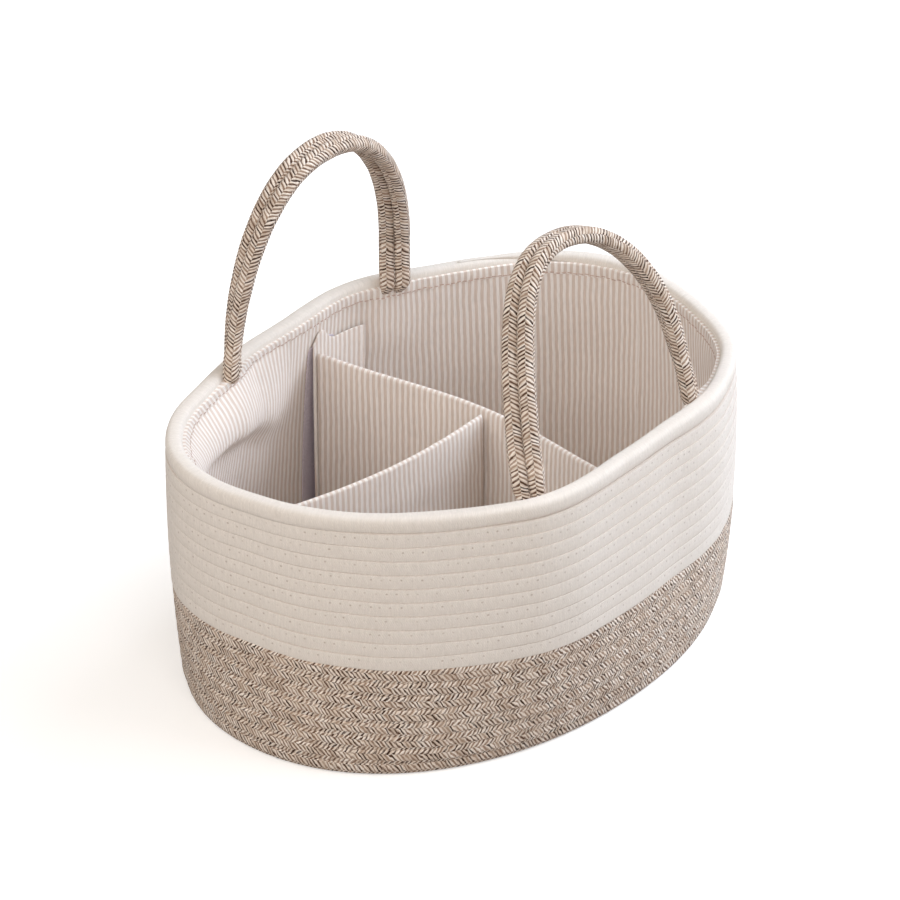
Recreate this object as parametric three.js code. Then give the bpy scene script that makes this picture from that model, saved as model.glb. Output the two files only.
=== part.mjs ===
// Oval rope caddy with two rope handles and a padded divider insert that lifts out.
// Millimetres, +Z up, +X along the longer side. The origin is under the middle of the base.
import * as THREE from 'three';

// Outline of the wound body, to the middle of the cord
const rimHalfLength = 183;
const rimHalfWidth = 130.6;
const endFlare = 11;
const sideFlare = 4.3;
const baseHalfLength = rimHalfLength - endFlare;
const baseHalfWidth = rimHalfWidth - sideFlare;
const bellyBulge = 6;
const rimOutlinePower = 1.95;
const baseOutlinePower = 2.1;

// Cord of the body, sewn edge to edge, and the thicker cord of the rim
const cordDiameter = 8.3;
const rimCordDiameter = 9.8;
const lowerRows = 7;
const upperRows = 10;
const baseTurns = 15;
const cordSides = 6;
const baseCordSides = 5;
const cordFacetShare = 0.535;
const baseFacetShare = 0.458;
const flatCutShare = 0.1;
const tailEndShare = 0.16;

// Stations round one turn, where the rows climb, and where the base turns step outward
const arcSteps = 5;
const straightSteps = 2;
const stationCount = 4 * arcSteps + 2 * straightSteps;
const climbSteps = 3;
const stepOutStartSteps = 3;
const stepOutEndSteps = 6;
const smallTurnRadius = 50;
const smallTurnStations = [0, 2, 3, 5, 6, 7, 9, 10];
const slowStepOutEndSteps = 15;
const baseStartSteps = 5;
const gapSampleSpacing = 4;

// Gaps and cloth
const fitGap = 0.35;
const bedGap = 0.5;
const linerThickness = 1.6;
const linerFloorThickness = 2;
const linerBulge = 3;
const linerLevels = 5;
const hemThickness = 1.2;
const hemHeight = 7;
const stripThickness = 1;
const stripWidth = 25;

// Handles
const handleCordDiameter = 9.6;
const handleFeetSpacing = 136;
const handleCordSides = 8;
const handleSteps = 26;
const handleTwistPower = 0.55;
const rimClearance = 0.8;
const footTabThickness = 2.4;
const footTabLength = 33;
const footTabShare = 0.93;
const nearHandle = { side: -1, leanDegrees: 21, height: 109, outlinePower: 2.22, sway: 6 };
const farHandle = { side: 1, leanDegrees: 5, height: 105, outlinePower: 2.15, sway: 1 };

// Divider insert
const insertTopBelowRim = 32;
const mainDividerThickness = 6;
const crossDividerThickness = 5;
const crossTopDrop = 1.5;
const coverThickness = 0.9;
const mainDividerX = 14;
const mainDividerBow = 12;
const wingLength = 30;
const wingThickness = 2.2;
const hookStripInset = 3;
const loopStripOffset = 9;
const loopStripAboveInsert = 10;
const loopStripAboveFloor = 12;
const crossEndY = 26;
const crossDip = 5;
const crossSwingDegrees = 15;
const dividerSteps = 12;
const crossSteps = 8;
const endStripShares = [0.2, 0.92];

// Finishes
const offWhiteCord = { color: 0xe9e3da, roughness: 0.95, metalness: 0 };
const heatherCord = { color: 0xb3a08e, roughness: 0.95, metalness: 0 };
const tickingCloth = { color: 0xe6dacb, roughness: 0.9, metalness: 0 };
const foamBoard = { color: 0xd8d3c8, roughness: 0.9, metalness: 0 };
const loopTape = { color: 0xddd6dd, roughness: 1, metalness: 0 };

const lerp = THREE.MathUtils.lerp;
const clamp = THREE.MathUtils.clamp;
const radians = THREE.MathUtils.degToRad;

// Heights of the rows: row 0 lies on the floor, the rim cord is above the last row
const rowHeight = (level) => cordDiameter * (0.5 - flatCutShare + level);
const wallRows = lowerRows + upperRows;
const rimHeight = rowHeight(wallRows) + (cordDiameter + rimCordDiameter) / 2;
const cordFacetRadius = cordDiameter * cordFacetShare;
const rimFacetRadius = rimCordDiameter * cordFacetShare;
const facetFlat = Math.cos(Math.PI / cordSides);
const rimTop = rimHeight + rimFacetRadius * facetFlat;
const baseFacetRadius = cordDiameter * baseFacetShare;
const baseTop = baseFacetRadius * (1 + Math.cos(Math.PI / baseCordSides));

// Heights of the lining and of the insert
const linerFloorBottom = baseTop + fitGap;
const linerFloorTop = linerFloorBottom + linerFloorThickness;
const linerTop = rimHeight - rimFacetRadius * facetFlat - fitGap;
const insertBottom = linerFloorTop + fitGap;
const insertTop = rimTop - insertTopBelowRim;

// The body's outline at a height: an oval that widens towards the rim and bellies out halfway
function outlineAt(height, bulge) {
  const rise = (height - rowHeight(0)) / (rimHeight - rowHeight(0));
  return {
    halfLength: lerp(baseHalfLength, rimHalfLength, rise),
    halfWidth: lerp(baseHalfWidth, rimHalfWidth, rise) + bulge * 4 * rise * (1 - rise),
    power: lerp(baseOutlinePower, rimOutlinePower, rise),
  };
}

// The outward direction of the body's outline at an angle and height
function wallNormal(angle, height, bulge = bellyBulge) {
  const { halfLength, halfWidth, power } = outlineAt(height, bulge);
  const c = Math.cos(angle);
  const s = Math.sin(angle);
  const alongX = (Math.sign(c) * Math.abs(c / halfLength) ** (power - 1)) / halfLength;
  const alongY = (Math.sign(s) * Math.abs(s / halfWidth) ** (power - 1)) / halfWidth;
  return new THREE.Vector3(alongX, alongY, 0).normalize();
}

// A point of the outline, moved inward square to it
function wallPoint(angle, height, inset = 0, bulge = bellyBulge) {
  const { halfLength, halfWidth, power } = outlineAt(height, bulge);
  const c = Math.abs(Math.cos(angle) / halfLength) ** power;
  const s = Math.abs(Math.sin(angle) / halfWidth) ** power;
  const reach = (c + s) ** (-1 / power);
  const point = new THREE.Vector3(reach * Math.cos(angle), reach * Math.sin(angle), height);
  return point.addScaledVector(wallNormal(angle, height, bulge), -inset);
}

// A point of a flat turn: two straight runs joined by half circles
function stadiumPoint(station, radius) {
  const half = stationCount / 2;
  const step = station % half;
  const flip = Math.floor(station / half) % 2 === 0 ? 1 : -1;
  const slide = clamp((step - arcSteps) / straightSteps, 0, 1);
  const arcStep = step <= arcSteps ? step : Math.max(step - straightSteps, arcSteps);
  const turn = (arcStep / arcSteps) * (Math.PI / 2);
  const straight = (baseHalfLength - baseHalfWidth) * (1 - 2 * slide);
  return new THREE.Vector3(
    flip * (straight + radius * Math.cos(turn)),
    flip * radius * Math.sin(turn),
    0,
  );
}

const stationAngles = Array.from({ length: stationCount }, (_, station) => {
  const point = stadiumPoint(station, baseHalfWidth);
  return Math.atan2(point.y, point.x);
});

// A solid from rings of points, each joined to the next, with flat ends or closed on itself
function loft(rings, closed = false) {
  const count = rings[0].length;
  const positions = rings.flat().flatMap((point) => [point.x, point.y, point.z]);
  const index = [];
  const last = closed ? rings.length : rings.length - 1;
  for (let ring = 0; ring < last; ring += 1) {
    const next = (ring + 1) % rings.length;
    for (let side = 0; side < count; side += 1) {
      const a = ring * count + side;
      const b = ring * count + ((side + 1) % count);
      const c = next * count + ((side + 1) % count);
      const d = next * count + side;
      index.push(a, b, c, a, c, d);
    }
  }
  if (!closed) {
    const start = capFaces(rings[0], 0);
    const end = capFaces(rings[rings.length - 1], (rings.length - 1) * count);
    start.forEach(([a, b, c]) => index.push(a, c, b));
    end.forEach(([a, b, c]) => index.push(a, b, c));
  }
  return outward(positions, index);
}

// Triangles of a flat end, wound the way that its ring runs
function capFaces(ring, offset) {
  const centre = ring.reduce((sum, point) => sum.add(point), new THREE.Vector3());
  centre.divideScalar(ring.length);
  const normal = new THREE.Vector3();
  ring.forEach((point, i) => {
    const next = ring[(i + 1) % ring.length];
    normal.add(point.clone().sub(centre).cross(next.clone().sub(centre)));
  });
  normal.normalize();
  const across = ring[0].clone().sub(centre).projectOnPlane(normal).normalize();
  const along = normal.clone().cross(across);
  const flat = ring.map((point) => {
    const arm = point.clone().sub(centre);
    return new THREE.Vector2(arm.dot(across), arm.dot(along));
  });
  return THREE.ShapeUtils.triangulateShape(flat, []).map((face) => face.map((i) => i + offset));
}

// A geometry whose faces are turned outwards if their volume came out negative
function outward(positions, index) {
  const at = (i) => new THREE.Vector3().fromArray(positions, i * 3);
  let volume = 0;
  for (let i = 0; i < index.length; i += 3) {
    volume += at(index[i]).dot(at(index[i + 1]).cross(at(index[i + 2])));
  }
  if (volume < 0) index.reverse();
  const geometry = new THREE.BufferGeometry();
  geometry.setAttribute('position', new THREE.Float32BufferAttribute(positions, 3));
  geometry.setIndex(index);
  return geometry;
}

// The section of a cord: a regular polygon square to its run, with chosen height and turn
function cordSection(centre, outwardDirection, radius, sides, firstTurn, heightShare = 1) {
  return Array.from({ length: sides }, (_, side) => {
    const turn = firstTurn + (side / sides) * 2 * Math.PI;
    const point = centre.clone().addScaledVector(outwardDirection, radius * Math.cos(turn));
    point.z = Math.max(point.z + radius * heightShare * Math.sin(turn), 0);
    return point;
  });
}

// Shortens a run of cord by the gap that its end keeps to the next cord
function trimEnd(rings, atStart) {
  const [edge, inner] = atStart ? [0, 1] : [rings.length - 1, rings.length - 2];
  const length = rings[edge][0].distanceTo(rings[inner][0]);
  rings[edge] = rings[edge].map((point, i) => point.clone().lerp(rings[inner][i], fitGap / length));
  return rings;
}

// The least distance between a coil's neighbouring runs, measured on points of its faces
function leastSelfGap(rings) {
  const samples = [];
  let run = 0;
  rings.slice(1).forEach((ring, i) => {
    const length = ring[0].distanceTo(rings[i][0]);
    const steps = Math.ceil(length / gapSampleSpacing);
    for (let step = 0; step < steps; step += 1) {
      const points = ring.flatMap((point, side) => {
        const here = rings[i][side].clone().lerp(point, step / steps);
        const other = (side + 1) % ring.length;
        const beside = rings[i][other].clone().lerp(ring[other], step / steps);
        return [here, here.clone().lerp(beside, 0.5)];
      });
      samples.push({ along: run + (length * step) / steps, points });
    }
    run += length;
  });
  let least = Infinity;
  samples.forEach((sample, i) => {
    for (let j = i + 1; j < samples.length; j += 1) {
      const other = samples[j];
      if (other.along - sample.along < 2.5 * cordDiameter) continue;
      if (other.points[0].distanceTo(sample.points[0]) > 2.5 * cordDiameter) continue;
      sample.points.forEach((point) => other.points.forEach((facing) => {
        least = Math.min(least, point.distanceTo(facing));
      }));
    }
  });
  return least;
}

// The rows of wall cord from one level to another, each climbing one pitch at the same place
function wallCord(fromRow, toRow) {
  const rings = [];
  for (let step = fromRow * stationCount; step <= toRow * stationCount; step += 1) {
    const station = step % stationCount;
    const climbed = step === toRow * stationCount ? 0 : clamp(station / climbSteps, 0, 1);
    const height = rowHeight(Math.floor(step / stationCount) + climbed);
    const angle = stationAngles[station];
    const normal = wallNormal(angle, height);
    rings.push(cordSection(wallPoint(angle, height), normal, cordFacetRadius, cordSides, 0));
  }
  return trimEnd(rings, true);
}

// The rim cord: it climbs from the last row, goes once round and ends in a tapered tail
function rimCord() {
  const rings = [];
  const climb = rimHeight - rowHeight(wallRows);
  const flatGap = climb - (cordFacetRadius + rimFacetRadius) * facetFlat;
  const tailSteps = climbSteps - 1;
  for (let step = 0; step <= stationCount + tailSteps; step += 1) {
    const angle = stationAngles[step % stationCount];
    const climbed = clamp(step / climbSteps, 0, 1);
    const radius = lerp(cordFacetRadius, rimFacetRadius, climbed);
    const height = rimHeight - climb * (1 - climbed);
    const tail = Math.max(step - stationCount, 0);
    const below = rimHeight - climb * (1 - tail / climbSteps);
    const belowRadius = lerp(cordFacetRadius, rimFacetRadius, tail / climbSteps);
    const tailBottom = below + belowRadius * facetFlat + flatGap;
    const tailHeight = Math.max(rimTop - tailBottom, rimFacetRadius * tailEndShare);
    const heightShare = tail > 0 ? tailHeight / (2 * rimFacetRadius * facetFlat) : 1;
    const centreHeight = tail > 0 ? rimTop - tailHeight / 2 : height;
    const centre = wallPoint(angle, Math.min(height, rimHeight));
    centre.z = centreHeight;
    const normal = wallNormal(angle, height);
    rings.push(cordSection(centre, normal, radius, cordSides, 0, heightShare));
  }
  return trimEnd(rings, true);
}

// The base cord: a flat spiral whose turns step outward, the outer ones ever more quickly
function baseCord() {
  const centreHeight = baseFacetRadius * Math.cos(Math.PI / baseCordSides);
  const route = [];
  for (let step = baseStartSteps; step <= baseTurns * stationCount; step += 1) {
    const station = step % stationCount;
    const turn = Math.floor(step / stationCount);
    const stepOutEnd = lerp(slowStepOutEndSteps, stepOutEndSteps, Math.min(turn / (baseTurns - 1), 1));
    const out = clamp((station - stepOutStartSteps) / (stepOutEnd - stepOutStartSteps), 0, 1);
    const last = step === baseTurns * stationCount;
    const radius = (baseHalfWidth / baseTurns) * (turn + (last ? 0 : out));
    if (radius < smallTurnRadius && !smallTurnStations.includes(station % (stationCount / 2))) continue;
    const point = stadiumPoint(station, radius);
    const oval = wallPoint(stationAngles[station], rowHeight(0));
    const outer = stadiumPoint(station, baseHalfWidth).length();
    route.push(point.multiplyScalar(Math.hypot(oval.x, oval.y) / outer));
  }
  const up = new THREE.Vector3(0, 0, 1);
  const firstTurn = Math.PI / 2;
  return route.map((point, i) => {
    const before = route[Math.max(i - 1, 0)];
    const after = route[Math.min(i + 1, route.length - 1)];
    const side = after.clone().sub(before).normalize().cross(up);
    if (i === route.length - 1) side.copy(wallNormal(stationAngles[0], rowHeight(0)));
    const centre = point.clone().setZ(centreHeight);
    return cordSection(centre, side, baseFacetRadius, baseCordSides, firstTurn);
  });
}

// A band of cloth that goes all the way round, from a section of insets and heights
function clothBand(profile) {
  const rings = stationAngles.map((angle) => (
    profile.map(([inset, height]) => wallPoint(angle, height, inset, linerBulge))
  ));
  return loft(rings, true);
}

// How far the lining stands inside the middle of the cords at a height
function linerInset(height) {
  const rise = clamp((height - linerFloorBottom) / (linerTop - linerFloorBottom), 0, 1);
  const pocket = footTabThickness + 2 * fitGap + fitGap;
  return cordFacetRadius + lerp(bedGap, pocket, rise);
}

// Heights of the lining's rings, with one at the hem's lower edge
const hemBottom = linerTop - hemHeight;
const linerHeights = Array.from({ length: linerLevels + 1 }, (_, level) => (
  lerp(linerFloorBottom, hemBottom, level / linerLevels)
)).concat(linerTop);

// The heights from bottom to top at which a piece on the lining bends with it
function bendHeights(bottom, top) {
  return [bottom, ...linerHeights.filter((height) => height > bottom && height < top), top];
}

function linerWall() {
  const heights = linerHeights;
  const outer = heights.map((height) => [linerInset(height), height]);
  const inner = heights.map((height) => [linerInset(height) + linerThickness, height]);
  return clothBand([...outer, ...inner.reverse()]);
}

const linerFace = (height) => linerInset(height) + linerThickness + fitGap;

function linerHem() {
  const outer = [hemBottom, linerTop].map((height) => [linerFace(height), height]);
  const inner = outer.map(([inset, height]) => [inset + hemThickness, height]);
  return clothBand([...outer, ...inner.reverse()]);
}

function linerFloor() {
  const inset = linerInset(linerFloorBottom) + linerThickness + fitGap;
  const rings = [linerFloorBottom, linerFloorTop].map((height) => (
    stationAngles.map((angle) => wallPoint(angle, linerFloorTop, inset, linerBulge).setZ(height))
  ));
  return loft(rings);
}

// The flat stretch of the wall between two stations, at an inset and height
function wallFacet(station, inset, height, bulge = linerBulge) {
  const from = wallPoint(stationAngles[station], height, inset, bulge);
  const to = wallPoint(stationAngles[(station + 1) % stationCount], height, inset, bulge);
  return { from, to, along: to.clone().sub(from).normalize() };
}

// The point of a facet that lies at an X
function facetPointAtX(facet, x) {
  return facet.from.clone().lerp(facet.to, (x - facet.from.x) / (facet.to.x - facet.from.x));
}

// The stations where the facets on either side of the middle of a long side begin
const middleStation = stationCount / 4;
const rightFacetStation = middleStation - 1;
const footFacetStation = middleStation - 2;

// Where a handle's pivot lies: its cords just clear the rim, beside it and above it
const footReachX = handleFeetSpacing / 2 + handleCordDiameter / 2 + fitGap / 2;
const pivotInset = rimFacetRadius + fitGap + (handleCordDiameter / 2) * (1 + rimClearance / 5);
const pivotFacet = wallFacet(footFacetStation, pivotInset, rimHeight, bellyBulge);
const pivotY = facetPointAtX(pivotFacet, footReachX).y;
const pivotZ = rimTop + rimClearance + handleCordDiameter / 2;
const cordSpread = handleCordDiameter / 2 + fitGap / 2;

// One cord of a handle: an arch in its own plane, twisted half round its neighbour
function handleCord(handle, spread) {
  const halfSpan = handleFeetSpacing / 2;
  const power = 2 / handle.outlinePower;
  const radius = handleCordDiameter / 2;
  const outwardY = new THREE.Vector3(0, handle.side, 0);
  const archPoint = (turn) => {
    const height = handle.height * Math.abs(Math.sin(turn)) ** power;
    const reach = halfSpan * Math.sign(Math.cos(turn)) * Math.abs(Math.cos(turn)) ** power;
    const share = height / handle.height;
    return new THREE.Vector3(reach + handle.sway * 4 * share * (1 - share), 0, height);
  };
  const steps = Array.from({ length: handleSteps + 1 }, (_, i) => i / handleSteps);
  const rings = steps.map((share, i) => {
    const turn = share * Math.PI;
    const point = archPoint(turn);
    const before = archPoint(Math.max(i - 1, 0) / handleSteps * Math.PI);
    const after = archPoint(Math.min(i + 1, handleSteps) / handleSteps * Math.PI);
    const run = after.sub(before).normalize();
    if (i === 0) run.set(0, 0, 1);
    if (i === handleSteps) run.set(0, 0, -1);
    const inside = run.clone().cross(new THREE.Vector3(0, 1, 0));
    const twist = (Math.PI / 2) * (1 - Math.abs(2 * share - 1)) ** handleTwistPower;
    point.addScaledVector(inside, spread * Math.cos(twist));
    point.addScaledVector(outwardY, spread * Math.sin(twist));
    return roundSection(point, inside, new THREE.Vector3(0, 1, 0), radius, handleCordSides);
  });
  return [...roundEnd(rings[0], -1), ...rings, ...roundEnd(rings[rings.length - 1], -1).reverse()];
}

// A ring of points about a centre, in the plane of two directions
function roundSection(centre, first, second, radius, sides) {
  return Array.from({ length: sides }, (_, side) => {
    const turn = ((side + 0.5) / sides) * 2 * Math.PI;
    const point = centre.clone().addScaledVector(first, radius * Math.cos(turn));
    return point.addScaledVector(second, radius * Math.sin(turn));
  });
}

// Two shrinking rings below a cord's end ring, which make its end round
function roundEnd(ring, direction) {
  const centre = ring.reduce((sum, point) => sum.add(point), new THREE.Vector3());
  centre.divideScalar(ring.length);
  const radius = ring[0].distanceTo(centre);
  return [Math.PI / 2.4, Math.PI / 4].map((turn) => ring.map((point) => {
    const shrunk = centre.clone().lerp(point, Math.cos(turn));
    shrunk.z += direction * radius * Math.sin(turn);
    return shrunk;
  }));
}

// One cord's foot: round where it leaves the rim, pressed flat between lining and wall below
function handleFoot(side, end, cord) {
  const roundTop = pivotZ - handleCordDiameter / 2 - fitGap;
  const tabTop = linerTop - fitGap;
  const tabBottom = tabTop - footTabLength;
  const x = handleFeetSpacing / 2 + cord * cordSpread;
  const tabInset = cordFacetRadius + fitGap + footTabThickness / 2;
  const radius = handleCordDiameter / 2;
  const levels = [
    [roundTop, 0, radius], [rimHeight, 0, radius], [tabTop, 1, footTabThickness / 2],
    [lerp(tabTop, tabBottom, 0.5), 1, footTabThickness / 2],
    [tabBottom, 1, footTabThickness / 2],
  ];
  return levels.map(([height, flat, halfThickness]) => {
    const facet = wallFacet(footFacetStation, tabInset, height, bellyBulge);
    const tabPoint = facetPointAtX(facet, x);
    const centre = new THREE.Vector3(x, lerp(pivotY, tabPoint.y, flat), height);
    const along = new THREE.Vector3(-1, 0, 0).lerp(facet.along, flat).normalize();
    const across = new THREE.Vector3(-along.y, along.x, 0);
    const halfWidth = lerp(radius, cordSpread * footTabShare, flat);
    const ring = Array.from({ length: handleCordSides }, (_, i) => {
      const turn = ((i + 0.5) / handleCordSides) * 2 * Math.PI;
      const point = centre.clone().addScaledVector(along, halfWidth * Math.cos(turn));
      return point.addScaledVector(across, halfThickness * Math.sin(turn));
    });
    return ring.map((point) => new THREE.Vector3(end * point.x, side * point.y, point.z));
  });
}

// A strip of cloth or tape on the flat stretch beside the middle of a long side
function wallStrip(side, fromX, toX, bottom, top, inset, thickness, upright) {
  const levels = upright ? [bottom, top] : bendHeights(bottom, top);
  const rings = levels.map((height) => {
    const at = upright ? linerTop : height;
    const outer = wallFacet(rightFacetStation, inset(at), at);
    const inner = wallFacet(rightFacetStation, inset(at) + thickness, at);
    const corners = [
      facetPointAtX(outer, fromX), facetPointAtX(outer, toX),
      facetPointAtX(inner, toX), facetPointAtX(inner, fromX),
    ];
    return corners.map((point) => new THREE.Vector3(point.x, side * point.y, height));
  });
  return loft(rings);
}

// Insets of the pieces that meet a long side, from the lining inward
const hookInset = () => linerFace(linerTop) + hemThickness + fitGap;
const wingInset = () => hookInset() + stripThickness + fitGap;
const dividerEndInset = wingInset() + wingThickness + fitGap;

// The plan line of the main divider, bowed away from the cross divider
function mainDividerLine() {
  const facet = wallFacet(rightFacetStation, dividerEndInset, linerTop);
  const wide = mainDividerX + mainDividerThickness / 2;
  const halfSpan = facetPointAtX(facet, wide).y;
  return Array.from({ length: dividerSteps + 1 }, (_, i) => {
    const share = (2 * i) / dividerSteps - 1;
    const bow = mainDividerBow * Math.cos((share * Math.PI) / 2) ** 2;
    return new THREE.Vector2(mainDividerX + bow, share * halfSpan);
  });
}

// The seam that the cross divider turns on: its corners just clear the main divider when it swings
const seamGap = fitGap + (crossDividerThickness / 2) * Math.sin(radians(crossSwingDegrees));
const crossPivotX = mainDividerX + mainDividerBow - mainDividerThickness / 2 - seamGap;

// The plan line of the cross divider, from its seam to the end wall, with a gentle bend
function crossDividerLine() {
  const facet = wallFacet(stationCount / 2 - 1, linerFace(insertTop), insertTop);
  const share = (crossEndY - facet.to.y) / (facet.from.y - facet.to.y);
  const wallX = lerp(facet.to.x, facet.from.x, share);
  const endX = wallX + 2 * stripThickness + 3 * fitGap + crossDividerThickness / 5;
  return Array.from({ length: crossSteps + 1 }, (_, i) => {
    const along = i / crossSteps;
    const dip = crossDip * Math.sin(Math.PI * along);
    return new THREE.Vector2(lerp(crossPivotX, endX, along), crossEndY * along ** 2 - dip);
  });
}

// How far the end wall comes inward per unit of height below the insert's top
const endWallSlope = (() => {
  const end = stationAngles[stationCount / 2];
  const top = wallPoint(end, insertTop, linerFace(insertTop), linerBulge).x;
  const bottom = wallPoint(end, insertBottom, linerFace(insertBottom), linerBulge).x;
  return (bottom - top) / (insertTop - insertBottom);
})();

// Carries a section of widths and heights along a plan line
function alongLine(line, section, endSlope = 0) {
  return line.map((point, i) => {
    const before = line[Math.max(i - 1, 0)];
    const after = line[Math.min(i + 1, line.length - 1)];
    const run = after.clone().sub(before).normalize();
    const share = i / (line.length - 1);
    return section.map(([width, height]) => new THREE.Vector3(
      point.x + run.y * width + endSlope * (insertTop - height) * share,
      point.y - run.x * width,
      height,
    ));
  });
}

// The section of a divider's cover: a sleeve with a round top edge, open at the bottom
function coverSection(thickness, top) {
  const outer = thickness / 2;
  const inner = outer - coverThickness;
  const shoulder = top - outer;
  const crown = [180, 135, 90, 45, 0].map((turn) => [
    outer * Math.cos(radians(turn)), shoulder + outer * Math.sin(radians(turn)),
  ]);
  const hollow = [[inner, insertBottom], [inner, shoulder], [-inner, shoulder]];
  return [[-outer, insertBottom], ...crown, [outer, insertBottom], ...hollow, [-inner, insertBottom]];
}

// The section of a divider's foam board, inside its cover
function coreSection(thickness, top) {
  const half = thickness / 2 - coverThickness - fitGap;
  const upper = top - thickness / 2 - fitGap;
  return [[-half, insertBottom], [-half, upper], [half, upper], [half, insertBottom]];
}

// A section carried along the cross divider, whose free end leans as the end wall does
function crossRings(section) {
  return alongLine(crossDividerLine(), section, endWallSlope);
}

// A tape on the free end of the cross divider, which leans with it
function crossHookStrip() {
  const line = crossDividerLine();
  const end = line[line.length - 1];
  const run = end.clone().sub(line[line.length - 2]).normalize();
  const half = crossDividerThickness / 2;
  const outerEnd = fitGap + stripThickness;
  return [insertBottom, insertTop - crossTopDrop - half].map((height) => (
    [[fitGap, -half], [outerEnd, -half], [outerEnd, half], [fitGap, half]].map(([out, width]) => (
      new THREE.Vector3(
        end.x + run.x * out + run.y * width + endWallSlope * (insertTop - height),
        end.y + run.y * out - run.x * width,
        height,
      )
    ))
  ));
}

// The loop tape on the end wall that the cross divider's tape sticks to
function endLoopStrip() {
  const station = stationCount / 2 - 1;
  const bottom = insertBottom + loopStripAboveFloor;
  const top = insertTop;
  return bendHeights(bottom, top).map((height) => {
    const outer = wallFacet(station, linerFace(height), height);
    const inner = wallFacet(station, linerFace(height) + stripThickness, height);
    const [nearShare, farShare] = endStripShares;
    return [
      outer.to.clone().lerp(outer.from, nearShare), outer.to.clone().lerp(outer.from, farShare),
      inner.to.clone().lerp(inner.from, farShare), inner.to.clone().lerp(inner.from, nearShare),
    ];
  });
}

const caddy = new THREE.Group();

function addPiece(parent, name, geometry, finish) {
  const mesh = new THREE.Mesh(geometry, new THREE.MeshStandardMaterial(finish));
  mesh.name = name;
  geometry.computeVertexNormals();
  parent.add(mesh);
  return mesh;
}

function addBody() {
  const coils = {
    base_rope_coil: [baseCord(), heatherCord],
    lower_wall_rope: [wallCord(0, lowerRows), heatherCord],
    upper_wall_rope: [wallCord(lowerRows, wallRows), offWhiteCord],
    rim_rope: [rimCord(), offWhiteCord],
  };
  Object.entries(coils).forEach(([name, [rings, finish]]) => {
    addPiece(caddy, name, loft(rings), finish);
    console.log(`${name}: least gap to itself ${leastSelfGap(rings).toFixed(2)} mm`);
  });
  addPiece(caddy, 'liner_wall', linerWall(), tickingCloth);
  addPiece(caddy, 'liner_hem', linerHem(), tickingCloth);
  addPiece(caddy, 'liner_floor', linerFloor(), tickingCloth);
}

function addHandles() {
  const cords = { inner: 1, outer: -1 };
  Object.entries({ near: nearHandle, far: farHandle }).forEach(([place, handle]) => {
    const arch = new THREE.Group();
    arch.position.set(0, handle.side * pivotY, pivotZ);
    arch.rotation.x = handle.side * radians(handle.leanDegrees);
    caddy.add(arch);
    Object.entries(cords).forEach(([cordName, sign]) => {
      const rings = handleCord(handle, sign * cordSpread);
      addPiece(arch, `${place}_handle_${cordName}_rope`, loft(rings), heatherCord);
      [[1, 'right'], [-1, 'left']].forEach(([end, endName]) => {
        const foot = handleFoot(handle.side, end, -sign);
        addPiece(caddy, `${place}_handle_${endName}_foot_${cordName}`, loft(foot), heatherCord);
      });
    });
  });
}

function addMainDivider() {
  const line = mainDividerLine();
  const cover = alongLine(line, coverSection(mainDividerThickness, insertTop));
  const core = alongLine(line, coreSection(mainDividerThickness, insertTop));
  addPiece(caddy, 'main_divider_cover', loft(cover), tickingCloth);
  addPiece(caddy, 'main_divider_board', loft(core), foamBoard);
  const wingFrom = mainDividerX - mainDividerThickness / 2;
  const wingTo = mainDividerX + wingLength;
  const loopFrom = mainDividerX - loopStripOffset;
  const loopTo = loopFrom + stripWidth;
  const loopBottom = insertBottom + loopStripAboveFloor;
  const loopTop = insertTop + loopStripAboveInsert;
  [[-1, 'near'], [1, 'far']].forEach(([side, place]) => {
    const wing = wallStrip(
      side, wingFrom, wingTo, insertBottom, insertTop, wingInset, wingThickness, true,
    );
    const hook = wallStrip(
      side, wingFrom + hookStripInset, wingFrom + hookStripInset + stripWidth,
      insertBottom + hookStripInset, insertTop - hookStripInset, hookInset, stripThickness, true,
    );
    const loop = wallStrip(
      side, loopFrom, loopTo, loopBottom, loopTop, linerFace, stripThickness, false,
    );
    addPiece(caddy, `${place}_divider_wing`, wing, tickingCloth);
    addPiece(caddy, `${place}_hook_strip`, hook, loopTape);
    addPiece(caddy, `${place}_loop_strip`, loop, loopTape);
  });
}

function addCrossDivider() {
  const top = insertTop - crossTopDrop;
  const cover = crossRings(coverSection(crossDividerThickness, top));
  const core = crossRings(coreSection(crossDividerThickness, top));
  addPiece(caddy, 'cross_divider_cover', loft(cover), tickingCloth);
  addPiece(caddy, 'cross_divider_board', loft(core), foamBoard);
  addPiece(caddy, 'cross_hook_strip', loft(crossHookStrip()), loopTape);
  addPiece(caddy, 'end_loop_strip', loft(endLoopStrip()), loopTape);
}

addBody();
addHandles();
addMainDivider();
addCrossDivider();

export default caddy;
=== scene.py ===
"""Oval rope caddy with a striped lining, rope handles and a padded divider insert.

The sizes are in millimetres and become metres where a mesh is made. +X runs along the long side and
+Z is up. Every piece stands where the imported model's node of the same part stands.
"""

from __future__ import annotations

import logging
import math
from collections.abc import Callable
from dataclasses import dataclass
from enum import Enum
from functools import cached_property

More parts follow.
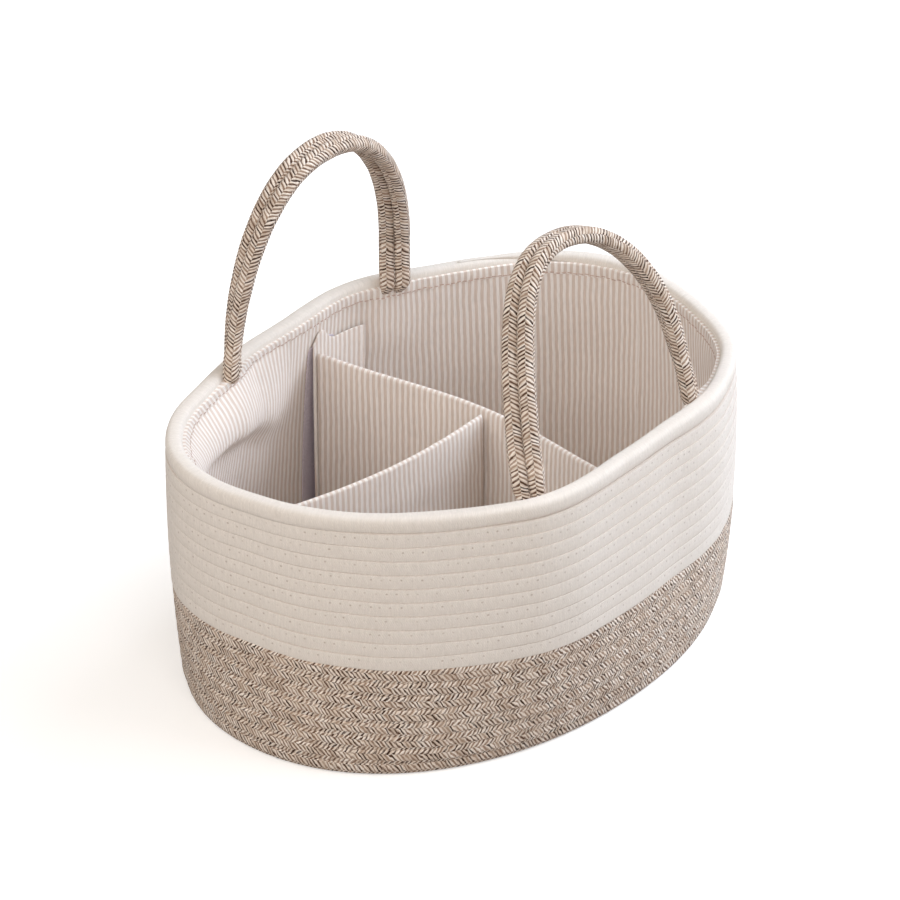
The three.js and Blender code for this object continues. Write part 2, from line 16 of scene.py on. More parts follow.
import bpy
import numpy as np
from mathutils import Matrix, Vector

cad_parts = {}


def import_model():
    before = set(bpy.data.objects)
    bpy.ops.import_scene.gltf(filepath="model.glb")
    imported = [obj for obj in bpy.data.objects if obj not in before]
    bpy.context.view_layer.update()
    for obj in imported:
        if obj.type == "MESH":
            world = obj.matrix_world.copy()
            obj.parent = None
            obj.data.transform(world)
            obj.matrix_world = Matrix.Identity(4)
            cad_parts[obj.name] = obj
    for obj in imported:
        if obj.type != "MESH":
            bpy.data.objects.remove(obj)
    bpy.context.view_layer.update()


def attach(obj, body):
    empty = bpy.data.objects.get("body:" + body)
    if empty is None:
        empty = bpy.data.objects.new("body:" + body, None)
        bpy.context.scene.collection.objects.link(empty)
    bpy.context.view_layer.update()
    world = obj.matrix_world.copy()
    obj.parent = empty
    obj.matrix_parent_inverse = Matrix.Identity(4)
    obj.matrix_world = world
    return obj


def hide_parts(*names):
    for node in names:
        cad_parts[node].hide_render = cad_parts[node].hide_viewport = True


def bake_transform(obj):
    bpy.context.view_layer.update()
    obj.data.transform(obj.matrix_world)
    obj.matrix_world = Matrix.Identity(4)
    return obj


LOG = logging.getLogger("rope_caddy")
MM = 0.001
TAU = math.tau
FLOOR_GAP = 0.02
WHITE = (1, 1, 1, 1)
Array = np.ndarray
Colour = tuple[float, float, float, float]
Stops = tuple[tuple[float, str], ...]
Range = tuple[float, float]
Table = tuple[Range, ...]
Wave = tuple[float, tuple[int, ...]]
Inset = Callable[[Array, Array], Array]
Numbers = Array | float
Node = bpy.types.Node
Object = bpy.types.Object
Material = bpy.types.Material
Value = Node | bpy.types.NodeSocket | float | tuple


class Body(Enum):
    """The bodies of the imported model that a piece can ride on."""

    CADDY = "caddy"
    NEAR_HANDLE = "near_handle"
    FAR_HANDLE = "far_handle"
    INSERT = "insert"
    CROSS = "cross_divider"


class Slot(Enum):
    """The record's material slots."""

    HEATHER = "heathered_rope"
    WHITE = "off_white_rope"
    CLOTH = "striped_cloth"
    FOAM = "foam_board"
    TAPE = "hook_and_loop_tape"


def linear(hex_colour: str) -> Colour:
    """Turn an sRGB hex colour into the linear values that a shader takes.

    Args:
        hex_colour: The colour as "#rrggbb".

    Returns:
        Linear red, green and blue, and an alpha of 1.
    """
    channels = [int(hex_colour[i : i + 2], 16) / 255 for i in (1, 3, 5)]
    bent = [c / 12.92 if c <= 0.04045 else ((c + 0.055) / 1.055) ** 2.4 for c in channels]
    return (bent[0], bent[1], bent[2], 1.0)


def add_node(tree: bpy.types.NodeTree, kind: str, inputs: dict | None = None, **settings) -> Node:
    """Add one shader node, set it up and link it.

    Args:
        tree: The node tree that gets the node.
        kind: The node's Blender type name.
        inputs: Input name or number to a value, a socket, or a node whose first output is linked.
        **settings: Properties of the node.

    Returns:
        The new node.
    """
    made = tree.nodes.new(kind)
    for name, value in settings.items():
        setattr(made, name, value)
    for name, value in (inputs or {}).items():
        if isinstance(value, Node):
            value = value.outputs[0]
        if isinstance(value, bpy.types.NodeSocket):
            tree.links.new(value, made.inputs[name])
        else:
            made.inputs[name].default_value = value
    return made


class Graph:
    """The nodes of one material or world, added with short calls that are built on add_node."""

    def __init__(self, tree: bpy.types.NodeTree) -> None:
        """Empty a node tree and keep it."""
        tree.nodes.clear()
        self.tree = tree

    def add(self, kind: str, inputs: dict | None = None, **settings) -> Node:
        """Add a node named by the end of its Blender type."""
        return add_node(self.tree, "ShaderNode" + kind, inputs, **settings)

    def math(self, operation: str, *values: Value) -> Node:
        """Calculate with one to three numbers."""
        return self.add("Math", dict(enumerate(values)), operation=operation)

    def vector(self, operation: str, *values: Value) -> Node:
        """Calculate with one to three vectors."""
        return self.add("VectorMath", dict(enumerate(values)), operation=operation)

    def apart(self, value: Value, middle: float) -> Node:
        """Measure how far a value lies from a middle, on either side."""
        return self.math("ABSOLUTE", self.math("SUBTRACT", value, middle))

    def noise(self, place: Value, scale: float, detail: float, dimensions: str = "2D") -> Node:
        """Make soft noise over a place."""
        inputs = {"Vector": place, "Scale": scale, "Detail": detail}
        return self.add("TexNoise", inputs, noise_dimensions=dimensions)

    def chance(self, first: Value, second: Value) -> Node:
        """Draw a random colour for each pair of whole numbers."""
        key = self.add("CombineXYZ", {0: first, 1: second})
        return self.add("TexWhiteNoise", {0: key}, noise_dimensions="2D")

    def remap(self, value: Value, source: Range, target: Range = (0.0, 1.0), smooth: bool = True) -> Node:
        """Carry one range over to another, clamped, with level ends where it is smooth.

        Args:
            value: The value to carry over.
            source: The range that it comes from.
            target: The range that it goes to.
            smooth: Whether the ends are level.

        Returns:
            The node.
        """
        inputs = {"Value": value, "From Min": source[0], "From Max": source[1]}
        inputs |= {"To Min": target[0], "To Max": target[1]}
        return self.add("MapRange", inputs, interpolation_type="SMOOTHSTEP" if smooth else "LINEAR")

    def ramp(self, value: Value, stops: Stops) -> Node:
        """Colour a value by stops, each a place from 0 to 1 and a hex colour, in rising order.

        Args:
            value: The value, from 0 to 1.
            stops: The colours and their places.

        Returns:
            The node.
        """
        made = self.add("ValToRGB", {0: value})
        elements = made.color_ramp.elements
        while len(elements) < len(stops):
            elements.new(1.0)
        for element, (place, colour) in zip(elements, stops):
            element.position = place
            element.color = linear(colour)
        return made

    def mix(self, share: Value, first: Value, second: Value) -> bpy.types.NodeSocket:
        """Mix two colours."""
        made = self.add("Mix", {"Factor": share, "A": first, "B": second}, data_type="RGBA")
        return made.outputs["Result"]

    def toned(self, colour: Value, noise: Value, tones: Range) -> Node:
        """Make a colour lighter and darker with noise, whose middle values carry over to the tones."""
        tone = self.remap(noise, (0.3, 0.7), tones, smooth=False)
        return self.add("HueSaturation", {"Value": tone, "Color": colour})

    def cloth(
        self, colour: Value, height: Value, relief: float, rough: float, shine: float, sheen: float
    ) -> None:
        """Finish a cloth's material: relief as bump, one rough shader and the output.

        Args:
            colour: Its colour.
            height: Its relief, from about 0 to 1.
            relief: Millimetres that a height of 1 stands for.
            rough: Roughness.
            shine: Level of the plain reflection.
            sheen: Weight of the fuzz's sheen.
        """
        bump = self.add("Bump", {"Height": height, "Distance": relief * MM, "Strength": 1.0})
        inputs = {"Base Color": colour, "Roughness": rough, "Specular IOR Level": shine, "Normal": bump}
        inputs |= {"Sheen Weight": sheen, "Sheen Roughness": 0.5}
        self.add("OutputMaterial", {"Surface": self.add("BsdfPrincipled", inputs)})

    def shown_rays(self) -> Node:
        """Tell the rays that see the background, straight or in a reflection, from those that light.

        Returns:
            A node that is 1 for the rays that see it and 0 for the others.
        """
        rays = self.add("LightPath").outputs
        shiny = self.math("MAXIMUM", rays["Is Glossy Ray"], rays["Is Transmission Ray"])
        return self.math("MAXIMUM", rays["Is Camera Ray"], shiny)


def new_material(name: str) -> tuple[Material, Graph]:
    """Make an empty node material and the graph that fills it.

    Args:
        name: The material's name.

    Returns:
        The material and its graph.
    """
    material = bpy.data.materials.new(name)
    material.use_nodes = True
    return material, Graph(material.node_tree)


@dataclass(frozen=True)
class BraidFinish:
    """Braided cotton cord: slanting strands that meet in herringbone columns round the cord.

    The pattern map holds the length along the cord in millimetres and the herringbone columns round it,
    a whole number at each boundary. The strands stand up from the lines between them, and every strand
    has its own shade. A sewn cord also shows the holes of the needle, a stitch apart, with painted shade
    in them and painted shade along the sewn grooves between rows.
    """

    name: str
    shades: Stops
    strands: Stops
    strand_pitch: float
    slant: float = 1.15
    line_width: float = 0.5
    relief: float = 0.35
    fuzz: float = 0.35
    unevenness: float = 0.1
    dive: float = 0.0
    gaps: float = 0.0
    speckle: float = 0.35
    drift: float = 1.6
    line_edges: Range = (0.55, 1.15)
    strand_tones: Range = (0.92, 1.06)
    crest: Range = (0.05, 0.42)
    needle_pitch: float = 0.0
    needle_place: float = 0.36
    needle_radii: Range = (0.28, 0.85)
    needle_strengths: Range = (0.05, 0.7)
    needle_depth: float = 1.6
    # Colour of the painted shade in the needle holes and the sewn grooves.
    hole_and_groove_painted_shade: str = "#a8978a"
    column_height: float = 9.0
    groove_middle: float = 0.177
    groove_reach: Range = (0.455, 0.5)
    # How much painted shade darkens the sewn grooves between rows.
    groove_painted_shade: float = 0.4

    def build(self) -> Material:
        """Make the material.

        Returns:
            The material.
        """
        material, graph = new_material(self.name)
        pattern = graph.add("UVMap", uv_map="pattern")

        # The map is nudged a little, so that no strand is ruled with a straight edge.
        nudge = graph.vector("SUBTRACT", graph.noise(pattern, 0.55, 2.0).outputs["Color"], (0.5, 0.5, 0.5))
        stray = graph.vector("MULTIPLY_ADD", nudge, (9 * self.unevenness, self.unevenness, 0.0), pattern)
        split = graph.add("SeparateXYZ", {0: stray})
        along, around = split.outputs[0], split.outputs[1]

        # Strands slant one way in half a column and the other way in the rest, half a pitch apart.
        column, place = graph.math("FLOOR", around), graph.math("FRACT", around)
        half = graph.math("GREATER_THAN", place, 0.5)
        spread = graph.apart(place, 0.5)
        drift = graph.math("MULTIPLY", graph.noise(pattern, 0.09, 1.0), self.drift)
        strands = graph.math("MULTIPLY_ADD", along, 1 / self.strand_pitch, drift)
        slanted = graph.math("MULTIPLY_ADD", spread, -2 * self.slant, strands)
        shifted = graph.math("MULTIPLY_ADD", half, 0.5, slanted)
        plain_line = graph.apart(graph.math("FRACT", shifted), 0.5)
        line = graph.math("MULTIPLY_ADD", graph.apart(spread, 0.25), -4 * self.dive, plain_line)

        # Each strand draws its own shade, and the line beside it fades out here and there.
        side = graph.math("MULTIPLY_ADD", column, 2.0, half)
        chance = graph.chance(graph.math("FLOOR", shifted), side)
        edges = tuple(self.line_width / 2 * edge for edge in self.line_edges)
        kept = graph.remap(graph.noise(pattern, 0.5, 1.0), (0.36, 0.54), (1 - self.gaps, 1.0), smooth=False)
        in_line = graph.math("MULTIPLY", graph.remap(line, edges, (1.0, 0.0)), kept)
        hue = graph.add("SeparateXYZ", {0: chance.outputs["Color"]})
        strand = graph.ramp(hue.outputs[1], self.strands)
        worn = graph.toned(strand, graph.noise(pattern, self.speckle, 3.0), self.strand_tones)
        colour = graph.mix(in_line, worn, graph.ramp(chance, self.shades))

        fibres = graph.noise(pattern, 2.6, 2.0)
        height = graph.math("MULTIPLY_ADD", fibres, self.fuzz, graph.remap(line, self.crest))
        if self.needle_pitch:
            colour, height = self._needle_holes(graph, along, place, column, colour, height)
        graph.cloth(colour, height, self.relief, rough=0.92, shine=0.2, sheen=0.1)
        return material

    def _needle_holes(
        self, graph: Graph, along: Value, place: Value, column: Value, colour: Value, height: Value
    ) -> tuple[bpy.types.NodeSocket, Node]:
        """Sink a dot a stitch apart on the column that faces out, paint shade into it, and paint shade along
        the sewn grooves.

        Args:
            graph: The material's graph.
            along: Length along the cord.
            place: Place across a herringbone column, from 0 to 1.
            column: Which column it is.
            colour: The colour so far.
            height: The relief so far.

        Returns:
            The colour with painted shade in the holes and grooves, and the height with the holes.
        """
        count = graph.math("MULTIPLY", along, 1 / self.needle_pitch)
        chance = graph.chance(graph.math("FLOOR", count), 7.0)
        jitter = graph.add("SeparateXYZ", {0: chance.outputs["Color"]}).outputs
        middle = graph.math("MULTIPLY_ADD", jitter[0], 0.2, 0.4)
        aside = graph.math("SUBTRACT", graph.math("FRACT", count), middle)
        level = graph.math("MULTIPLY_ADD", jitter[1], 0.06, self.needle_place - 0.03)
        up = graph.math("SUBTRACT", place, level)
        run = graph.math("MULTIPLY", aside, self.needle_pitch)
        rise = graph.math("MULTIPLY", up, self.column_height)
        distance = graph.vector("LENGTH", graph.add("CombineXYZ", {0: run, 1: rise})).outputs["Value"]
        # Each needle hole is sunk in the relief and darkened with painted shade.
        dot = graph.remap(distance, self.needle_radii, (1.0, 0.0))
        shown = graph.math("MULTIPLY", dot, graph.math("COMPARE", column, 0.0, 0.5))
        strength = graph.remap(jitter[2], (0.0, 1.0), self.needle_strengths, smooth=False)
        faint = graph.math("MULTIPLY", shown, strength)
        # Painted shade: the sewn grooves between rows are darkened towards the hole colour.
        off_face = graph.apart(graph.math("ADD", column, place), self.groove_middle)
        painted_groove_shade = graph.remap(off_face, self.groove_reach, (0.0, self.groove_painted_shade))
        dotted = graph.mix(graph.math("MAXIMUM", faint, painted_groove_shade), colour, linear(self.hole_and_groove_painted_shade))
        return dotted, graph.math("MULTIPLY_ADD", faint, -self.needle_depth, height)


@dataclass(frozen=True)
class TickingFinish:
    """Woven cotton ticking: cream and beige stripes of equal width in a plain weave.

    The pattern map holds millimetres across and along the stripes. The weave is drawn at 0.7 mm, coarser
    than its real 0.4 mm threads, so that it shows.
    """

    name: str
    cream: str = "#fbf4ee"
    beige: str = "#e4d4c8"
    stripe_pitch: float = 3.65
    stripe_wander: float = 0.35
    stripe_edge: Range = (0.17, 0.31)
    stripe_dip: float = 0.9
    thread_pitch: float = 0.7
    slub_stretch: tuple[float, float, float] = (1.4, 0.16, 1.0)
    slub_tones: Range = (0.93, 1.04)
    relief: float = 0.1

    def build(self) -> Material:
        """Make the material.

        Returns:
            The material.
        """
        material, graph = new_material(self.name)
        pattern = graph.add("UVMap", uv_map="pattern")
        split = graph.add("SeparateXYZ", {0: pattern}).outputs
        drift = graph.math("MULTIPLY", graph.noise(pattern, 0.05, 2.0), self.stripe_wander)
        count = graph.math("MULTIPLY_ADD", split[0], 1 / self.stripe_pitch, drift)
        stripe = graph.remap(graph.apart(graph.math("FRACT", count), 0.5), self.stripe_edge)
        turns = [graph.math("MULTIPLY", split[i], TAU / self.thread_pitch) for i in (0, 1)]
        weave = graph.math("MULTIPLY", *(graph.math("SINE", turn) for turn in turns))
        slub = graph.noise(graph.vector("MULTIPLY", pattern, self.slub_stretch), 1.0, 3.0)
        colour = graph.mix(stripe, linear(self.cream), linear(self.beige))
        worn = graph.toned(colour, slub, self.slub_tones)
        raised = graph.math("MULTIPLY_ADD", stripe, -self.stripe_dip, weave)
        graph.cloth(worn, raised, self.relief, rough=0.9, shine=0.2, sheen=0.15)
        return material


@dataclass(frozen=True)
class NapFinish:
    """A napped or foamed surface of one colour: looped tape, hooks, foam or spun thread.

    Fine noise of the given grain gives the nap its speckle and its relief.
    """

    name: str
    colour: str
    shade: str
    grain: float = 0.6
    relief: float = 0.2
    sheen: float = 0.3

    def build(self) -> Material:
        """Make the material.

        Returns:
            The material.
        """
        material, graph = new_material(self.name)
        place = graph.add("TexCoord").outputs["Object"]
        nap = graph.noise(place, 1 / (self.grain * MM), 3.0, "3D")
        colour = graph.ramp(nap, ((0.35, self.shade), (0.62, self.colour)))
        graph.cloth(colour, nap, self.relief, rough=0.95, shine=0.15, sheen=self.sheen)
        return material


@dataclass(frozen=True)
class PaperSweepFinish:
    """A matt white paper sweep that keeps the object's soft shadow and shows white to the camera.

    Its light on the object is that of a darker paper. Past the fade, which is in metres, it is plain
    white, so that no horizon shows.
    """

    name: str = "white_paper_sweep"
    paper: str = "#f4f3f1"
    bounce: str = "#b4afab"
    lift: float = 0.28
    fade: Range = (0.6, 1.3)

    def build(self) -> Material:
        """Make the material.

        Returns:
            The material.
        """
        material, graph = new_material(self.name)
        matt = graph.add("BsdfDiffuse", {"Color": linear(self.paper)})
        dim = graph.add("BsdfDiffuse", {"Color": linear(self.bounce)})
        glow = graph.add("Emission", {"Color": WHITE, "Strength": self.lift})
        white = graph.add("Emission", {"Color": WHITE, "Strength": 1.0})
        reach = graph.vector("LENGTH", graph.add("TexCoord").outputs["Object"]).outputs["Value"]
        near = graph.add("AddShader", {0: matt, 1: glow})
        lit = graph.add("MixShader", {0: graph.remap(reach, self.fade), 1: near, 2: white})
        shown = graph.add("MixShader", {0: graph.shown_rays(), 1: dim, 2: lit})
        graph.add("OutputMaterial", {"Surface": shown})
        return material


class Finishes:
    """Every finish of the caddy, built once."""

    def __init__(self) -> None:
        """Build the materials."""
        # Dark flecks of many browns between flax strands: the rows and handles look heathered.
        heather = ((0.0, "#a68e7b"), (0.35, "#856b58"), (0.6, "#62493a"), (0.85, "#4a3121"), (1.0, "#362013"))
        flax = ((0.0, "#c6b3a2"), (0.3, "#decdbd"), (0.65, "#e9dbcd"), (1.0, "#f2e7dc"))
        sewn = {"strand_pitch": 2.4, "unevenness": 0.16, "dive": 0.05, "gaps": 0.3}
        carried = {"strand_pitch": 2.25, "line_width": 0.48, "relief": 0.4, "dive": 0.04, "gaps": 0.15}
        self.heather_row = BraidFinish("heathered_cotton_braid_sewn", heather, flax, **sewn).build()
        self.heather_handle = BraidFinish("heathered_cotton_braid_handle", heather, flax, **carried).build()

        # A smooth sleeve with hardly a line in it: matt off-white, needle holes in rows, painted shade in
        # holes and grooves.
        pale = ((0.0, "#dfd7ce"), (1.0, "#dcd4cb"))
        milk = ((0.0, "#ddd5cc"), (1.0, "#e2dbd3"))
        sleeve = {"strand_pitch": 1.2, "slant": 1.6, "relief": 0.05, "fuzz": 2.0, "unevenness": 0.05}
        sleeve["speckle"] = 1.1
        sewn_sleeve = sleeve | {"needle_pitch": 5.4}
        self.white_row = BraidFinish("off_white_cotton_sleeve_sewn", pale, milk, **sewn_sleeve).build()
        self.white_rim = BraidFinish("off_white_cotton_sleeve_rim", pale, milk, **sleeve).build()

        # Soft stripes that a shadow still shows through: the lining and the dividers.
        self.ticking = TickingFinish("cotton_ticking_cream_beige").build()

        # A faint lilac nap on the tapes, a rosy line of thread under the rim, and dull foam.
        self.tape = NapFinish("looped_tape_pale_grey", "#e4dbe3", "#c6bac4").build()
        self.thread = NapFinish("spun_thread_rose_beige", "#cfb3a5", "#b99a8b", grain=0.3).build()
        self.foam = NapFinish("foam_board_matt", "#ddd6c9", "#c4bcae", grain=1.2, sheen=0.0).build()


def periodic_wave(turns: Array, wave: Wave, seed: int) -> Array:
    """Sum sines of whole wave numbers with seeded phases, scaled to a typical height.

    Args:
        turns: Place, in turns; any shape.
        wave: Typical height of the sum, and how many waves each sine has in a turn.
        seed: Seed of the phases.

    Returns:
        The sum, in the shape of turns.
    """
    amplitude, waves = wave
    phases = np.random.default_rng(seed).uniform(0, TAU, len(waves))
    total = sum(np.sin(TAU * turns * count + phase) for count, phase in zip(waves, phases))
    return amplitude * total / math.sqrt(len(waves))


def ripples(across: Array, along: Array, amplitude: float, wavelength: float, seed: int) -> Array:
    """Make soft creases in a flat cloth: nine plane waves in seeded directions and lengths, added up.

    Args:
        across: Millimetres across the cloth.
        along: Millimetres along the cloth.
        amplitude: Typical height of a crease.
        wavelength: Typical width of a crease.
        seed: Seed of the directions, lengths and phases.

    Returns:
        Heights in the shape of the inputs.
    """
    random = np.random.default_rng(seed)
    total = np.zeros(np.broadcast(across, along).shape)
    for _ in range(9):
        turn = random.uniform(0, TAU)
        length = wavelength * random.uniform(0.6, 1.7)
        phase = random.uniform(0, TAU)
        total += np.sin(TAU * (across * math.cos(turn) + along * math.sin(turn)) / length + phase)
    return amplitude * total / 3


def smooth_step(value: Array, low: float, high: float) -> Array:
    """Rise from 0 at low to 1 at high with level ends: 3t^2 - 2t^3 of the clamped share t."""
    share = np.clip((value - low) / (high - low), 0, 1)
    return share * share * (3 - 2 * share)


def between(first: Numbers, second: Numbers, share: Array) -> Array:
    """Go from the first value to the second by a share."""
    return first + (second - first) * share


def wrapped(angle: Array) -> Array:
    """Bring angles into the half turns on either side of 0."""
    return np.mod(angle + math.pi, TAU) - math.pi


def pairs(first: Array, second: Array) -> Array:
    """Join two arrays that broadcast into one with pairs in its last axis, such as a pattern map."""
    return np.stack(np.broadcast_arrays(first, second), -1)


def unit(vectors: Array) -> Array:
    """Scale vectors in the last axis to length 1."""
    return vectors / np.linalg.norm(vectors, axis=-1, keepdims=True)


def square_to(level: Array) -> Array:
    """Turn level directions a quarter to the left, seen from above."""
    return np.stack([-level[..., 1], level[..., 0], np.zeros(level.shape[:-1])], -1)


def run_length(points: Array) -> Array:
    """Measure the length along a line of points, from 0 at its first."""
    steps = np.linalg.norm(np.diff(points, axis=0), axis=1)
    return np.concatenate([[0.0], np.cumsum(steps)])


def resample(line: Array, count: int) -> Array:
    """Put count points at equal lengths along a line.

    Args:
        line: Points of the line, as (points, parts).
        count: How many points to put.

    Returns:
        The points, as (count, parts).
    """
    length = run_length(line)
    even = np.linspace(0, length[-1], count)
    return np.stack([np.interp(even, length, values) for values in line.T], -1)


def swept(centre: Array, side: Array, out: Array, up: Array) -> Array:
    """Stand a section on every point of a line: out along its side direction and up along Z.

    Args:
        centre: Points of the line.
        side: Level directions across it.
        out: Parts of the section along them, as (points, points round).
        up: Parts of the section along Z, in the same shape.

    Returns:
        Rings of points.
    """
    rings = centre[:, None] + side[:, None] * out[..., None]
    rings[..., 2] += up
    return rings


def new_object(name: str, data: bpy.types.ID) -> Object:
    """Make an object of this data and link it to the scene.

    Args:
        name: The object's name.
        data: Its mesh, lamp or camera.

    Returns:
        The new object.
    """
    made = bpy.data.objects.new(name, data)
    bpy.context.scene.collection.objects.link(made)
    return made


def quads(rows: int, columns: int, rows_close: bool = False, columns_close: bool = False) -> Array:
    """Number the corners of a grid's quads; a closed axis joins its last line to its first.

    Args:
        rows: Points along the grid's first axis.
        columns: Points along its second axis.
        rows_close: Whether the last row joins the first.
        columns_close: Whether the last column joins the first.

    Returns:
        Four corner numbers for each quad.
    """
    last_row, last_column = rows - (not rows_close), columns - (not columns_close)
    row, column = np.meshgrid(np.arange(last_row), np.arange(last_column), indexing="ij")
    below, above = row * columns, (row + 1) % rows * columns
    beside = (column + 1) % columns
    return np.stack([below + column, below + beside, above + beside, above + column], -1).reshape(-1, 4)


def smooth_mesh(name: str, points: Array, corners: Array, uv: Array | None = None) -> Object:
    """Make a smoothly shaded object from points in millimetres, faces and their pattern map.

    Args:
        name: The piece's name.
        points: Its points in millimetres, three numbers each.
        corners: Four point numbers for each face.
        uv: The pattern map at the faces' corners, where it has one.

    Returns:
        The new object.
    """
    mesh = bpy.data.meshes.new(name)
    mesh.from_pydata(points.reshape(-1, 3) * MM, [], corners.tolist())
    if uv is not None:
        layer = mesh.uv_layers.new(name="pattern")
        layer.data.foreach_set("uv", np.ascontiguousarray(uv, dtype=np.float32).ravel())
    mesh.polygons.foreach_set("use_smooth", np.ones(len(mesh.polygons), dtype=bool))
    mesh.update()
    return new_object(name, mesh)


def tube(name: str, rings: Array, pattern: Array, closed: bool = False) -> Object:
    """Make a solid from rings of points, each joined to the next.

    The quads between ring i and ring i + 1 follow the grid; an open run's two ends are closed by a
    ladder of quads across the ring. Faces are turned outwards by the sign of the solid's volume.

    Args:
        name: The piece's name.
        rings: Points in millimetres, as (rings, points round, 3).
        pattern: The pattern map's values at the corners, as (rings or rings + 1, points + 1, 2).
        closed: Whether the last ring joins the first.

    Returns:
        The new object, at the origin.
    """
    count, around, _ = rings.shape
    corners = quads(count, around, closed, True)
    uv = pattern.reshape(-1, 2)[quads(*pattern.shape[:2])]
    if not closed:
        step = np.arange(around // 2 - 1)
        rung = np.stack([step, step + 1, around - 2 - step, around - 1 - step], -1)
        corners = np.concatenate([corners, rung[:, ::-1], (count - 1) * around + rung])
        uv = np.concatenate([uv, pattern[0, rung[:, ::-1]], pattern[-1, rung]])
    a, b, c, d = (rings.reshape(-1, 3)[corners[:, i]] for i in range(4))
    if (np.cross(a, b) * c).sum() + (np.cross(a, c) * d).sum() < 0:
        corners, uv = corners[:, ::-1], uv[:, ::-1]
    return smooth_mesh(name, rings, corners, uv)


def shell(name: str, front: Array, back: Array, pattern: Array, closed: bool = False) -> Object:
    """Make a thin closed solid between two faces of cloth.

    Args:
        name: The piece's name.
        front: Points of one face in millimetres, as (rows, columns, 3).
        back: Points of the other face, in the same order.
        pattern: The pattern map over the front, as (rows or rows + 1, columns, 2).
        closed: Whether the last row joins the first.

    Returns:
        The new object.
    """
    rings = np.concatenate([front, back[:, ::-1]], axis=1)
    mirrored = np.concatenate([pattern, pattern[:, ::-1], pattern[:, :1]], axis=1)
    made = tube(name, rings, mirrored, closed)
    made.data.set_sharp_from_angle(angle=math.radians(60))
    return made


def dress(piece: Object, finish: Material, body: Body | None, slot: Slot, *stands_for: str) -> None:
    """Give a piece its finish and the body it rides on, and hide the nodes that it stands for.

    Args:
        piece: The new piece.
        finish: Its material.
        body: The body that it rides on, or none.
        slot: The record's material slot; not used.
        *stands_for: CAD nodes that it replaces.
    """
    piece.data.materials.append(finish)
    if body:
        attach(piece, body.value)
    if stands_for:
        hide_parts(*stands_for)
    LOG.info("%s: %d faces", piece.name, len(piece.data.polygons))


